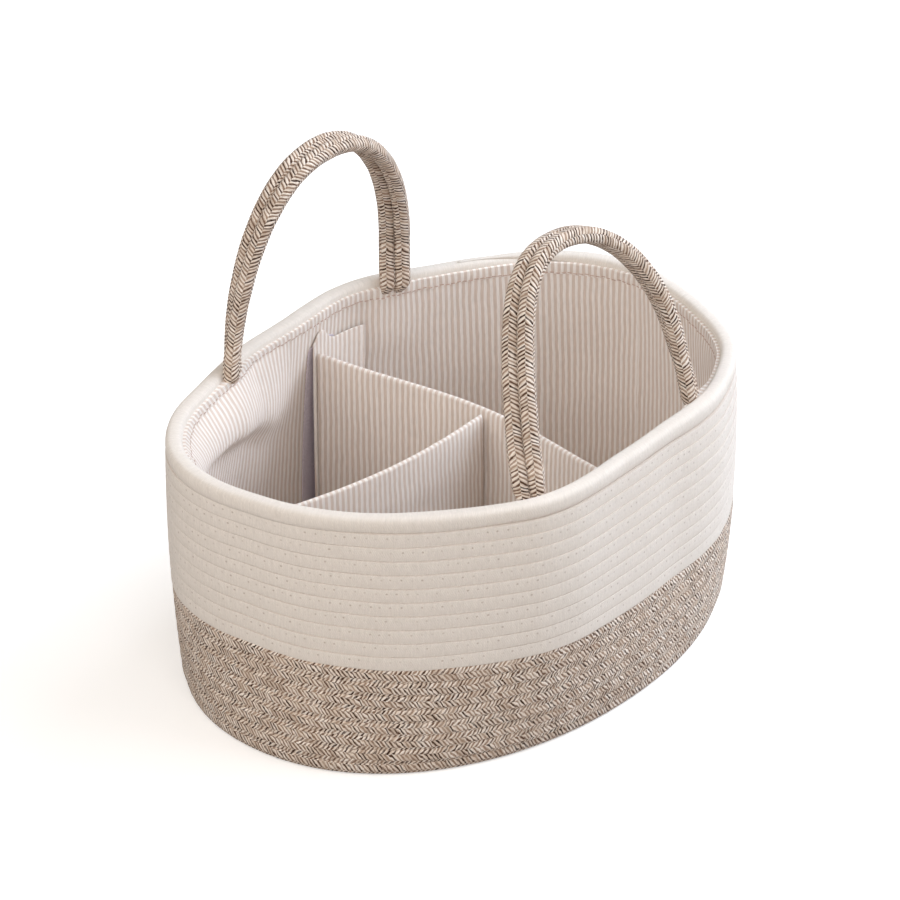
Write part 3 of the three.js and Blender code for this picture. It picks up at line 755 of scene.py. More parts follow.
@dataclass(frozen=True)
class Outline:
    """The wall's outline: an oval that widens towards the rim, bellies out halfway and is drawn in.

    The sag table gives how far the soft rim is drawn in at polar angles in degrees. The sag powers say
    how low on the wall that is felt, and right_end is the middle and spread of the end with its own power.
    """

    rim_half_length: float = 183.0
    rim_half_width: float = 130.6
    end_flare: float = 11.0
    side_flare: float = 4.3
    belly: float = 6.0
    rim_power: float = 1.95
    base_power: float = 2.1
    cord: float = 8.3
    rim_cord: float = 9.8
    lower_rows: int = 7
    upper_rows: int = 10
    flat_cut: float = 0.1
    facet_share: float = 0.535
    sag: Table = (
        (-180, 16), (-170, 17), (-160, 15.5), (-150, 12.5), (-140, 9), (-130, 4.5), (-122, 0), (-114, 0),
        (-105, 3.5), (-95, 7), (-83, 7.5), (-74, 6.5), (-65, 2.5), (-57, -0.5), (-45, -1), (-36, -1),
        (-28, 4), (-20, 10.5), (-10, 15), (2, 13.5), (14, 13), (25, 14), (38, 17), (48, 16), (58, 12),
        (68, 9), (76, 9), (85, 12.5), (95, 15), (105, 14.5), (115, 12), (127, 10.5), (136, 8.5), (143, 3),
        (149, 0), (157, -1), (164, 2), (170, 7), (175, 11.5), (180, 16),
    )  # fmt: skip
    sag_power: float = 1.8
    right_sag_power: float = 0.8
    right_end: Range = (-12.0, 34.0)

    def row_height(self, level: Numbers) -> Numbers:
        """Height of a row's middle: row 0 lies on the floor."""
        return self.cord * (0.5 - self.flat_cut + level)

    @property
    def rim_height(self) -> float:
        """Height of the rim cord's middle."""
        return self.row_height(self.lower_rows + self.upper_rows) + (self.cord + self.rim_cord) / 2

    @property
    def rim_top(self) -> float:
        """Height of the rim's upper edge."""
        return self.rim_height + self.rim_cord * self.facet_share * math.cos(math.pi / 6)

    @property
    def lining_top(self) -> float:
        """Height of the lining's upper edge, which is tucked against the rim cord."""
        return self.rim_height + 0.3

    def rise(self, height: Array) -> Array:
        """Share of the way from the lowest row to the rim cord."""
        return (height - self.row_height(0)) / (self.rim_height - self.row_height(0))

    def ring(self, angle: Array, height: Numbers, inset: Numbers = 0.0) -> Array:
        """Work out points of the wall.

        At a height the oval is |x/a|^p + |y/b|^p = 1; the point at a polar angle is moved inward along
        the oval's normal, whose parts are the derivatives (x/a)^(p-1)/a and (y/b)^(p-1)/b.

        Args:
            angle: Polar angle in radians.
            height: Height in millimetres.
            inset: How far inside the middle of the cords the point lies.

        Returns:
            Points, as (..., 3).
        """
        angle, height, inset = np.broadcast_arrays(angle, height, inset)
        half_length, half_width, power = self._oval(height)
        c, s = np.cos(angle), np.sin(angle)
        reach = (np.abs(c / half_length) ** power + np.abs(s / half_width) ** power) ** (-1 / power)
        reach = reach - self.drawn_in(angle, height)
        flat = np.stack([reach * c, reach * s, height], -1)
        return flat - self.normal(angle, height) * inset[..., None]

    @cached_property
    def _smooth_sag(self) -> tuple[Array, Array]:
        """The sag table at every half degree, smoothed by a raised cosine 13 degrees wide.

        Returns:
            Angles in radians, and depths.
        """
        places, depths = np.array(self.sag, dtype=float).T
        fine = np.linspace(-math.pi, math.pi, 721)
        rough = np.interp(fine[:-1], np.radians(places), depths)
        kernel = np.hanning(27)
        reach = len(kernel) // 2
        round_trip = np.concatenate([rough[-reach:], rough, rough[:reach]])
        smooth = np.convolve(round_trip, kernel / kernel.sum(), "valid")
        return fine, np.append(smooth, smooth[0])

    def drawn_in(self, angle: Array, height: Array) -> Array:
        """How far the soft wall is drawn in at an angle: nothing at the floor, all of it at the rim.

        It is the table's depth times 1 - (1 - rise)^p. The power p goes from one value to another over
        the right end.

        Args:
            angle: Polar angle in radians.
            height: Height in millimetres.

        Returns:
            Millimetres inward, in the shape of the inputs.
        """
        turned = wrapped(angle)
        depth = np.interp(turned, *self._smooth_sag)
        middle, spread = self.right_end
        right = np.exp(-(((np.degrees(turned) - middle) / spread) ** 4))
        power = between(self.sag_power, self.right_sag_power, right)
        return depth * (1 - np.maximum(1 - np.clip(self.rise(height), 0, 1.05), 0) ** power)

    def normal(self, angle: Array, height: Numbers) -> Array:
        """Outward directions of the drawn-in oval at polar angles and heights, level in Z.

        The oval's own normal is tilted by how fast the drawn-in depth changes with the angle, over the
        oval's middle radius.

        Args:
            angle: Polar angle in radians.
            height: Height in millimetres.

        Returns:
            Directions of length 1, as (..., 3).
        """
        angle, height = np.broadcast_arrays(angle, height)
        half_length, half_width, power = self._oval(height)
        c, s = np.cos(angle), np.sin(angle)
        along_x = np.sign(c) * np.abs(c / half_length) ** (power - 1) / half_length
        along_y = np.sign(s) * np.abs(s / half_width) ** (power - 1) / half_width
        step = 0.02
        slope = (self.drawn_in(angle + step, height) - self.drawn_in(angle - step, height)) / (2 * step)
        tilt = slope / np.sqrt(half_length * half_width)
        level = unit(np.stack([along_x, along_y, np.zeros_like(along_x)], -1))
        return unit(level + square_to(level) * tilt[..., None])

    def _oval(self, height: Array) -> tuple[Array, Array, Array]:
        """Half length, half width and power of the oval at a height.

        Each goes in a straight line from foot to rim, and the width has a belly of 4 r (1 - r) on top.

        Args:
            height: Height in millimetres.

        Returns:
            The half length, the half width and the power.
        """
        rise = self.rise(height)
        half_length = self.rim_half_length - self.end_flare * (1 - rise)
        half_width = self.rim_half_width - self.side_flare * (1 - rise) + self.belly * 4 * rise * (1 - rise)
        return half_length, half_width, between(self.base_power, self.rim_power, rise)

    def even_angles(self, count: int) -> Array:
        """Polar angles of points at equal lengths round the wall, count + 1 of them, from 0 to a turn.

        Args:
            count: How many equal lengths make the round.

        Returns:
            The angles in radians.
        """
        dense = np.linspace(0, TAU, 1441)
        length = run_length(self.ring(dense, self.rim_height / 2))
        return np.interp(np.linspace(0, length[-1], count + 1), length, dense)

    def girth(self, height: float, inset: float = 0.0) -> float:
        """Length round the wall at a height."""
        return float(run_length(self.ring(np.linspace(0, TAU, 721), height, inset))[-1])

    def angle_at(
        self, x: Array, height: Array, side: float, inset: Inset, guess: float = math.pi / 2
    ) -> Array:
        """Find the polar angles where a long side has these X, by small turns that take up what is left.

        Args:
            x: The places in X.
            height: Their heights.
            side: 1 for the far side and -1 for the near one.
            inset: How far inside the cords the points lie, from their angles and heights.
            guess: A polar angle on the far side to start from.

        Returns:
            The angles, in the shape of x.
        """
        angle = np.full(x.shape, side * guess)
        for _ in range(25):
            angle = angle + side * (self.ring(angle, height, inset(angle, height))[..., 0] - x) / 120
        return angle


@dataclass
class RopeBody:
    """The wound wall, rim and base: one cord sewn to itself row by row.

    The powers say how square a cord's section is, and the reaches are half its width.
    """

    outline: Outline
    climb_end: float = math.radians(40.3)
    row_reach: float = 4.45
    row_half_height: float = 4.7
    white_half_height: float = 4.42
    white_power: float = 11.0
    heather_power: float = 5.4
    rim_reach: float = 4.85
    rim_power: float = 2.9
    rim_underside: float = 1.32
    base_reach: float = 4.28
    base_half_height: float = 3.44
    base_power: float = 2.6
    base_turns: int = 15
    foot_rounding: float = 1.1
    row_sway: Wave = (0.22, (3, 5, 8, 13, 19))
    row_puff: Wave = (0.1, (7, 17, 31, 43))
    row_dip: Wave = (0.14, (2, 5, 9, 14))
    row_twist: Wave = (0.13, (1, 3, 4, 7))
    rim_puff: Wave = (0.2, (2, 3, 5, 9, 14))
    rim_dip: Wave = (0.3, (2, 3, 5, 8))
    tail_overlap: float = 1.2
    tail_least: float = 0.12
    ring_points: int = 24
    column_width: float = 8.2
    column_start: float = 0.25
    steps: int = 216

    def build(self, finishes: Finishes) -> None:
        """Make and dress the four windings.

        Args:
            finishes: The finishes to dress the pieces with.
        """
        lower_rows = self.outline.lower_rows
        total = lower_rows + self.outline.upper_rows
        lower = self._rows("lower_rope_rows", 0, lower_rows, 11)
        dress(lower, finishes.heather_row, Body.CADDY, Slot.HEATHER, "lower_wall_rope")
        upper = self._rows("upper_rope_rows", lower_rows, total, 23)
        dress(upper, finishes.white_row, Body.CADDY, Slot.WHITE, "upper_wall_rope")
        dress(self._rim("rim_rope_band", total), finishes.white_rim, Body.CADDY, Slot.WHITE, "rim_rope")
        base = self._base("base_rope_spiral")
        dress(base, finishes.heather_row, Body.CADDY, Slot.HEATHER, "base_rope_coil")

    def _section(self, reach: Array, half_height: Array, power: float) -> tuple[Array, Array, Array]:
        """Work out a cord's section: a squared-off oval |r/a|^p + |z/b|^p = 1.

        Args:
            reach: Half width along the wall's normal at each ring.
            half_height: Half height at each ring.
            power: How square the section is.

        Returns:
            Parts along the normal and up, both (rings, points), and the herringbone columns round it.
        """
        turn = np.linspace(-math.pi, math.pi, self.ring_points + 1)
        out, up = (np.sign(part) * np.abs(part) ** (2 / power) for part in (np.cos(turn), np.sin(turn)))
        girth = run_length(np.stack([out * reach[0], up * half_height[0]], -1))
        columns = self.column_start + (girth - girth[self.ring_points // 2] - 0.6) / self.column_width
        return np.outer(reach, out[:-1]), np.outer(half_height, up[:-1]), columns

    def _rows(self, name: str, first: int, last: int, seed: int) -> Object:
        """Wind rows first to last: each is level but for a climb of one pitch near angle 0.

        The cord's section is carried round the wall's ring, whose height is the row's number plus a
        smooth step over the climb. Small waves move it and change its thickness.

        Args:
            name: The piece's name.
            first: Number of the lowest row, 0 at the floor.
            last: Number of the row that the next cord begins on.
            seed: Seed of the cord's small unevenness.

        Returns:
            The new object.
        """
        shape = self.outline
        count = last - first
        angle = np.append(np.tile(shape.even_angles(self.steps)[:-1], count), TAU)
        turn = np.append(np.repeat(np.arange(count), self.steps), count - 1)
        level = first + turn + smooth_step(angle, 0, self.climb_end)
        level[-1] = last
        turns = np.arange(len(angle)) / self.steps
        sway = periodic_wave(turns, self.row_sway, seed)
        puff = periodic_wave(turns, self.row_puff, seed + 1)
        height = shape.row_height(level) + periodic_wave(turns, self.row_dip, seed + 2)
        half = np.full(len(angle), self.white_half_height if first else self.row_half_height)
        power = self.white_power if first else self.heather_power
        out, up, columns = self._section(self.row_reach + puff, half, power)
        rings = swept(shape.ring(angle, height, sway), shape.normal(angle, height), out, up)
        rings[..., 2] = np.maximum(rings[..., 2], FLOOR_GAP)
        twist = np.zeros(len(turns)) if first else periodic_wave(turns, self.row_twist, seed + 3)
        along = turns * shape.girth(shape.rim_height / 2)
        return tube(name, rings, pairs(along[:, None], columns[None] + twist[:, None]))

    def _rim(self, name: str, level: int) -> Object:
        """Lay the rim cord: it climbs off the last row, goes round and thins out over its own start.

        Over the climb its section goes from the row's to its own. On the tail its top stays level and its
        underside rises with the cord below it, so it thins out to nearly nothing.

        Args:
            name: The piece's name.
            level: Number of the row that it takes the place of.

        Returns:
            The new object.
        """
        shape = self.outline
        tail_angles = np.linspace(0, self.climb_end, 40)[1:]
        angle = np.concatenate([shape.even_angles(self.steps * 2), TAU + tail_angles])
        on_tail = angle > TAU
        start = smooth_step(angle, 0, self.climb_end)
        tail = smooth_step(angle, TAU, TAU + self.climb_end)
        climb = shape.rim_height - shape.row_height(level)
        rim_half = shape.rim_top - shape.rim_height
        height = shape.rim_height - climb * (1 - start)
        under = height[0] + climb * tail + between(self.row_half_height, rim_half, tail)
        lowered = under - self.tail_overlap * (1 - tail)
        tail_half = np.maximum((shape.rim_top - lowered) / 2, self.tail_least)
        half = between(self.white_half_height, rim_half, start)
        half = np.where(on_tail, np.minimum(tail_half, rim_half), half)
        height = np.where(on_tail, shape.rim_top - half, height)
        thinned = self.rim_reach * np.sqrt(np.clip(half / rim_half, 0, 1))
        reach = np.where(on_tail, thinned, between(self.row_reach, self.rim_reach, start))
        turns = angle / TAU
        puff = periodic_wave(turns, self.rim_puff, 41) * (1 - tail) * start
        height = height + periodic_wave(turns, self.rim_dip, 43) * (1 - tail) * start
        out, up, columns = self._section(reach + puff, half + puff, self.rim_power)
        up = np.where(up < 0, up * self.rim_underside, up)
        row_out, row_up, _ = self._section(reach, half, self.white_power)
        out, up = between(row_out, out, start[:, None]), between(row_up, up, start[:, None])
        centre = shape.ring(angle, height)
        rings = swept(centre, shape.normal(angle, height), out, up)
        rings[..., 2] = np.minimum(rings[..., 2], shape.rim_top + 0.6)
        return tube(name, rings, pairs(run_length(centre)[:, None], columns[None]))

    def _base(self, name: str) -> Object:
        """Wind the flat spiral of the base: straight runs joined by half circles, stepping outward.

        A turn has 24 stations: 5 for each quarter circle and 2 for each straight run. Its radius is the
        base's half width times (turn + out) / turns, where out rises from 0 to 1 over part of the turn, a
        longer part in the inner turns. Each point is then drawn in to the oval.

        Args:
            name: The piece's name.

        Returns:
            The new object.
        """
        shape = self.outline
        quarter, straight, stations = 5, 2, 24
        out_from, first_out_to, last_out_to = 3, 15, 6
        widest = shape.rim_half_width - shape.side_flare
        straight_run = shape.rim_half_length - shape.end_flare - widest
        step = np.arange(quarter, self.base_turns * stations + 0.01, 0.25)
        station, turn = step % stations, np.floor(step / stations)
        out_to = between(first_out_to, last_out_to, np.minimum(turn / (self.base_turns - 1), 1))
        out = np.clip((station - out_from) / (out_to - out_from), 0, 1)
        out[-1] = 0
        radius = widest / self.base_turns * (turn + out)
        in_half = station % (stations // 2)
        flip = np.where(station < stations // 2, 1.0, -1.0)
        plan = straight_run * (1 - 2 * np.clip((in_half - quarter) / straight, 0, 1))
        arc = np.where(in_half <= quarter, in_half, np.maximum(in_half - straight, quarter))
        arc = arc / quarter * (math.pi / 2)
        flat = np.stack([flip * (plan + radius * np.cos(arc)), flip * radius * np.sin(arc)], -1)
        outer = np.stack([flip * (plan + widest * np.cos(arc)), flip * widest * np.sin(arc)], -1)
        oval = shape.ring(np.arctan2(outer[:, 1], outer[:, 0]), shape.row_height(0))
        inner = np.hypot(oval[:, 0], oval[:, 1]) - 0.4
        flat *= (inner / np.linalg.norm(outer, axis=1))[:, None]

        # The last turn is the lowest row that shows, so its section is the wall's.
        last = smooth_step(step / stations, self.base_turns - 1, self.base_turns - 0.75)
        half = self.base_half_height + 0.4 * last
        centre = np.concatenate([flat, (half + FLOOR_GAP)[:, None]], axis=1)
        side = -square_to(unit(np.gradient(centre, axis=0)))
        reach = np.full(len(centre), self.base_reach)
        soft_out, soft_up, _ = self._section(reach, half, self.base_power)
        square_out, square_up, columns = self._section(reach + 0.1, half, self.heather_power)
        share = last[:, None]
        out, up = between(soft_out, square_out, share), between(soft_up, square_up, share)
        rings = swept(centre, side, out, up)
        rings[..., 2] = np.maximum(rings[..., 2], 0.0)
        under = self.foot_rounding * share * np.clip(1 - rings[..., 2] / 5, 0, 1) ** 2
        rings = rings - side[:, None] * under[..., None]
        return tube(name, rings, pairs(run_length(centre)[:, None], columns[None]))


@dataclass
class Lining:
    """The cloth lining: wall, sewn hem with its stitches, and padded floor.

    The fold tables give the far left fold's size and depth below the rim at polar angles in degrees, and
    the foot angles and heights say where the cords' pressed ends lie behind the cloth.
    """

    outline: Outline
    flat_height: float = 147.0
    middle_level: Range = (80.0, 8.0)
    hem_level: Range = (145.0, 10.0)
    thickness: float = 1.3
    bed: float = 5.15
    foot_room: float = 2.3
    foot_angles: tuple[float, ...] = (-122.5, -57.5, 59.0, 125.5)
    foot_spread: float = 6.5
    foot_heights: Range = (98.0, 122.0)
    floor_bottom: float = 7.22
    floor_thickness: float = 2.0
    floor_gap: float = 0.3
    hem_height: float = 6.4
    hem_thickness: float = 0.2
    hem_narrowing: float = 3.4
    scallop_pitch: float = 10.6
    ledge: float = 4.2
    fold_sizes: Table = (
        (90, 0.0), (96, 1.0), (103, 5.5), (110, 10.0), (118, 12.5), (128, 13.5), (142, 13.0), (154, 10.5),
        (165, 5.0), (174, 0.0),
    )  # fmt: skip
    fold_depths: Table = ((96, 46.0), (108, 42.0), (120, 33.0), (135, 26.0), (160, 20.0))
    gathers: Wave = (0.22, (71, 83, 97, 113))
    sway: Wave = (0.35, (9, 13, 21))
    hem_sway: Wave = (0.3, (11, 17, 29))
    hem_scallop: float = 0.3
    stitch_length: float = 2.7
    stitch_pitch: float = 3.4
    thread_radius: float = 0.3
    columns: int = 480
    rows: int = 44

    def build(self, finishes: Finishes) -> None:
        """Make and dress the lining.

        Args:
            finishes: The finishes to dress the pieces with.
        """
        wall = self._wall("lining_cloth")
        dress(wall, finishes.ticking, Body.CADDY, Slot.CLOTH, "liner_wall")
        hem = self._hem("lining_hem_band")
        dress(hem, finishes.ticking, Body.CADDY, Slot.CLOTH, "liner_hem")
        stitches = self._stitches("lining_hem_stitches")
        dress(stitches, finishes.thread, Body.CADDY, Slot.CLOTH)
        self.girth * MM
        floor = self._floor("lining_floor_pad")
        dress(floor, finishes.ticking, Body.CADDY, Slot.CLOTH, "liner_floor")

    @property
    def girth(self) -> float:
        """Length round the lining halfway up."""
        return self.outline.girth(*self.middle_level)

    @property
    def hem_girth(self) -> float:
        """Length round the hem."""
        return self.outline.girth(*self.hem_level)

    def inset(self, angle: Array, height: Array) -> Array:
        """How far the lining's outer face stands inside the middle of the cords.

        It lies on the rows, makes room for the four pairs of pressed cord ends, and hangs in folds.

        Args:
            angle: Polar angle in radians.
            height: Height in millimetres.

        Returns:
            Millimetres inward, in the shape of the inputs.
        """
        room = np.zeros(np.broadcast(angle, height).shape)
        for foot in np.radians(self.foot_angles):
            off = np.degrees(np.abs(wrapped(angle - foot)))
            beside = np.exp(-((off / self.foot_spread) ** 4))
            room = np.maximum(room, beside * smooth_step(height, *self.foot_heights))
        return self.bed + self.foot_room * room + self.folds(angle, height)

    def face(self, angle: Array, height: Array) -> Array:
        """How far the lining's inner face stands inside the middle of the cords."""
        return self.inset(angle, height) + self.thickness

    def folds(self, angle: Array, height: Array) -> Array:
        """Work out how far the cloth stands inward of its even place.

        A long soft bulge with a hollow below it lies on the far left, gathers lie under the hem, and
        shallow creases run all over.

        Args:
            angle: Polar angle.
            height: Height.

        Returns:
            Millimetres inward.
        """
        degrees = np.degrees(wrapped(angle))
        size, depth = (np.interp(degrees, *zip(*table)) for table in (self.fold_sizes, self.fold_depths))
        below_top = self.outline.lining_top - height
        deep = np.maximum(below_top, 0) / depth
        over = np.sin(math.pi / 2 * np.minimum(deep, 1)) ** 1.1
        under = 1 - 0.72 * smooth_step(deep, 1.0, 1.6) - 0.28 * smooth_step(deep, 1.5, 3.2)
        turns = angle / TAU
        gathers = np.maximum(self.gathers[0] + periodic_wave(turns, self.gathers, 5), 0)
        gathers = gathers * np.exp(-np.maximum(below_top - 7, 0) / 9) * smooth_step(below_top, 0, 4)
        arc = turns * self.outline.girth(self.middle_level[0])
        creases = ripples(arc, height, 0.45, 62, 8) + periodic_wave(turns, self.sway, 9)
        calm = 1 - np.exp(-(((np.abs(np.sin(angle)) - 1) / 0.05) ** 2)) * 0.8
        ends = smooth_step(height, self.floor_bottom, self.floor_bottom + 20)
        ends = ends * smooth_step(below_top, 1, 14)
        return size * over * under + np.maximum(creases + 0.6, 0) * calm * ends + gathers

    def _wall(self, name: str) -> Object:
        """Make the lining's wall: a closed band whose top edge rolls out under the rim.

        Both faces are the wall's ring, set in by the inset and by the inset plus the thickness.

        Args:
            name: The piece's name.

        Returns:
            The new object.
        """
        shape, top = self.outline, self.outline.lining_top
        angle = shape.even_angles(self.columns)[:-1, None]
        height = np.linspace(self.floor_bottom + 0.2, top, self.rows)[None]
        back = self.inset(angle, height)
        roll = 0.6 * smooth_step(height, top - 1.2, top)
        inner = shape.ring(angle, height, back + self.thickness - roll)
        outer = shape.ring(angle, height, back)
        across = np.linspace(0, self.girth, self.columns + 1)[:, None]
        shear = 1.5 * np.sin(across / 97) * np.sin(height / 41)
        return shell(name, inner, outer, pairs(across + shear, height), closed=True)

    def _hem(self, name: str) -> Object:
        """Make the hem: a folded band whose lower edge dips between the stitches.

        Its face is the lining's, set in by its thickness and a sine's puff, and closes at the top by the
        root of 1 - share^6. Its back goes over to the ledge under the rim.

        Args:
            name: The piece's name.

        Returns:
            The new object.
        """
        shape, top = self.outline, self.outline.lining_top
        angle = shape.even_angles(self.columns * 2)[:-1, None]
        share = np.linspace(0, 1, 12)[None]
        across = np.linspace(0, self.hem_girth, self.columns * 2 + 1)[:, None]
        bottom = self._hem_bottom(angle, across[:-1]) + periodic_wave(angle / TAU, self.hem_sway, 3)
        height = bottom + (top + 0.35 - bottom) * share
        puff = 0.25 * np.sin(math.pi * share) ** 0.7
        face = self.face(angle, height)
        inner = shape.ring(angle, height, face + (self.hem_thickness + puff) * np.sqrt(1 - share**6) + 0.02)
        outer = shape.ring(angle, height, between(face - 0.7, self.ledge, smooth_step(share, 0.7, 1.0)))
        return shell(name, inner, outer, pairs(across, np.linspace(0, 9, 12)[None]), closed=True)

    def _hem_bottom(self, angle: Array, across: Array) -> Array:
        """Height of the hem's scalloped edge; it is higher on the far left, where the cloth is pulled.

        Args:
            angle: Polar angle in radians.
            across: Millimetres along the hem.

        Returns:
            Heights in millimetres.
        """
        off = (wrapped(angle) - math.radians(128)) / math.radians(34)
        height = self.hem_height - self.hem_narrowing * np.exp(-(off**4))
        scallop = self.hem_scallop * np.sin(TAU * across / self.scallop_pitch)
        return self.outline.lining_top - height + scallop

    def _stitches(self, name: str) -> Object:
        """Sew the hem: short round-ended threads on its face, one pitch apart along its lower edge.

        Args:
            name: The piece's name.

        Returns:
            The new object.
        """
        shape = self.outline
        count = int(self.hem_girth / self.stitch_pitch)
        angles = shape.even_angles(count)[:-1]
        across = np.linspace(0, self.hem_girth, count + 1)[:-1]
        height = self._hem_bottom(angles, across) + 0.9
        centres = shape.ring(angles, height, self.face(angles, height) + self.hem_thickness + 0.2)
        out = shape.normal(angles, height)
        return thread_stitches(name, centres, square_to(out), out, self.stitch_length, self.thread_radius)

    def _floor(self, name: str) -> Object:
        """Make the floor pad: a disc with a rounded edge, softly quilted.

        Its plan is the lining's foot scaled from the middle out, and its edge is a quarter circle over
        the last 3 % of that.

        Args:
            name: The piece's name.

        Returns:
            The new object.
        """
        shape = self.outline
        angle = shape.even_angles(240)[:-1]
        share = np.linspace(0.0005, 1, 60)[None]
        edge_height = np.full(len(angle), self.floor_bottom + 2)
        edge = shape.ring(angle, edge_height, self.face(angle, edge_height) + self.floor_gap)
        flat = (edge[:, None] * share[..., None])[..., :2]
        soft = np.sqrt(np.clip(1 - np.clip((share - 0.97) / 0.03, 0, 1) ** 2, 0.02, 1))
        creases = ripples(flat[..., 0], flat[..., 1], 0.14, 48, 31)
        top = self.floor_bottom + 0.2 + (self.floor_thickness + creases * (1 - share**6)) * soft
        bottom = np.full(top.shape, self.floor_bottom)
        upper, lower = (np.concatenate([flat, level[..., None]], -1) for level in (top, bottom))
        return shell(name, upper, lower, np.concatenate([flat, flat[:1]]), closed=True)


def thread_stitches(
    name: str, centres: Array, run: Array, out: Array, length: float, radius: float
) -> Object:
    """Make a row of sewn threads: each is a bowed, tapered bead that dives into the cloth at both ends.

    Args:
        name: The piece's name.
        centres: Middles of the stitches on the cloth's face, in millimetres.
        run: Directions of the stitches.
        out: Directions out of the cloth's far side; the beads stand on the other side of it.
        length: Length of one stitch.
        radius: Half thickness of the thread.

    Returns:
        One object that holds them all.
    """
    along = np.array([-0.5, -0.36, 0.0, 0.36, 0.5]) * length
    size = np.array([0.25, 0.85, 1.0, 0.85, 0.25])
    bow = -radius * 0.6 * (size - 0.6)
    turn = np.linspace(0, TAU, 6, endpoint=False)[:, None]
    middle = centres[:, None] + run[:, None] * along[:, None] + out[:, None] * bow[:, None]
    round_it = np.cos(turn) * np.cross(run, out)[:, None] + np.sin(turn) * out[:, None]
    points = middle[:, :, None] + round_it[:, None] * (size * radius)[:, None, None]
    count, rows, sides = points.shape[:3]
    rungs = np.array([[0, 1, 4, 5], [1, 2, 3, 4]])
    bead = [quads(rows, sides, columns_close=True)[:, ::-1], rungs, (rows - 1) * sides + rungs[:, ::-1]]
    first_points = np.arange(count) * rows * sides
    corners = np.concatenate(bead)[None] + first_points[:, None, None]
    return smooth_mesh(name, points, corners.reshape(-1, 4))


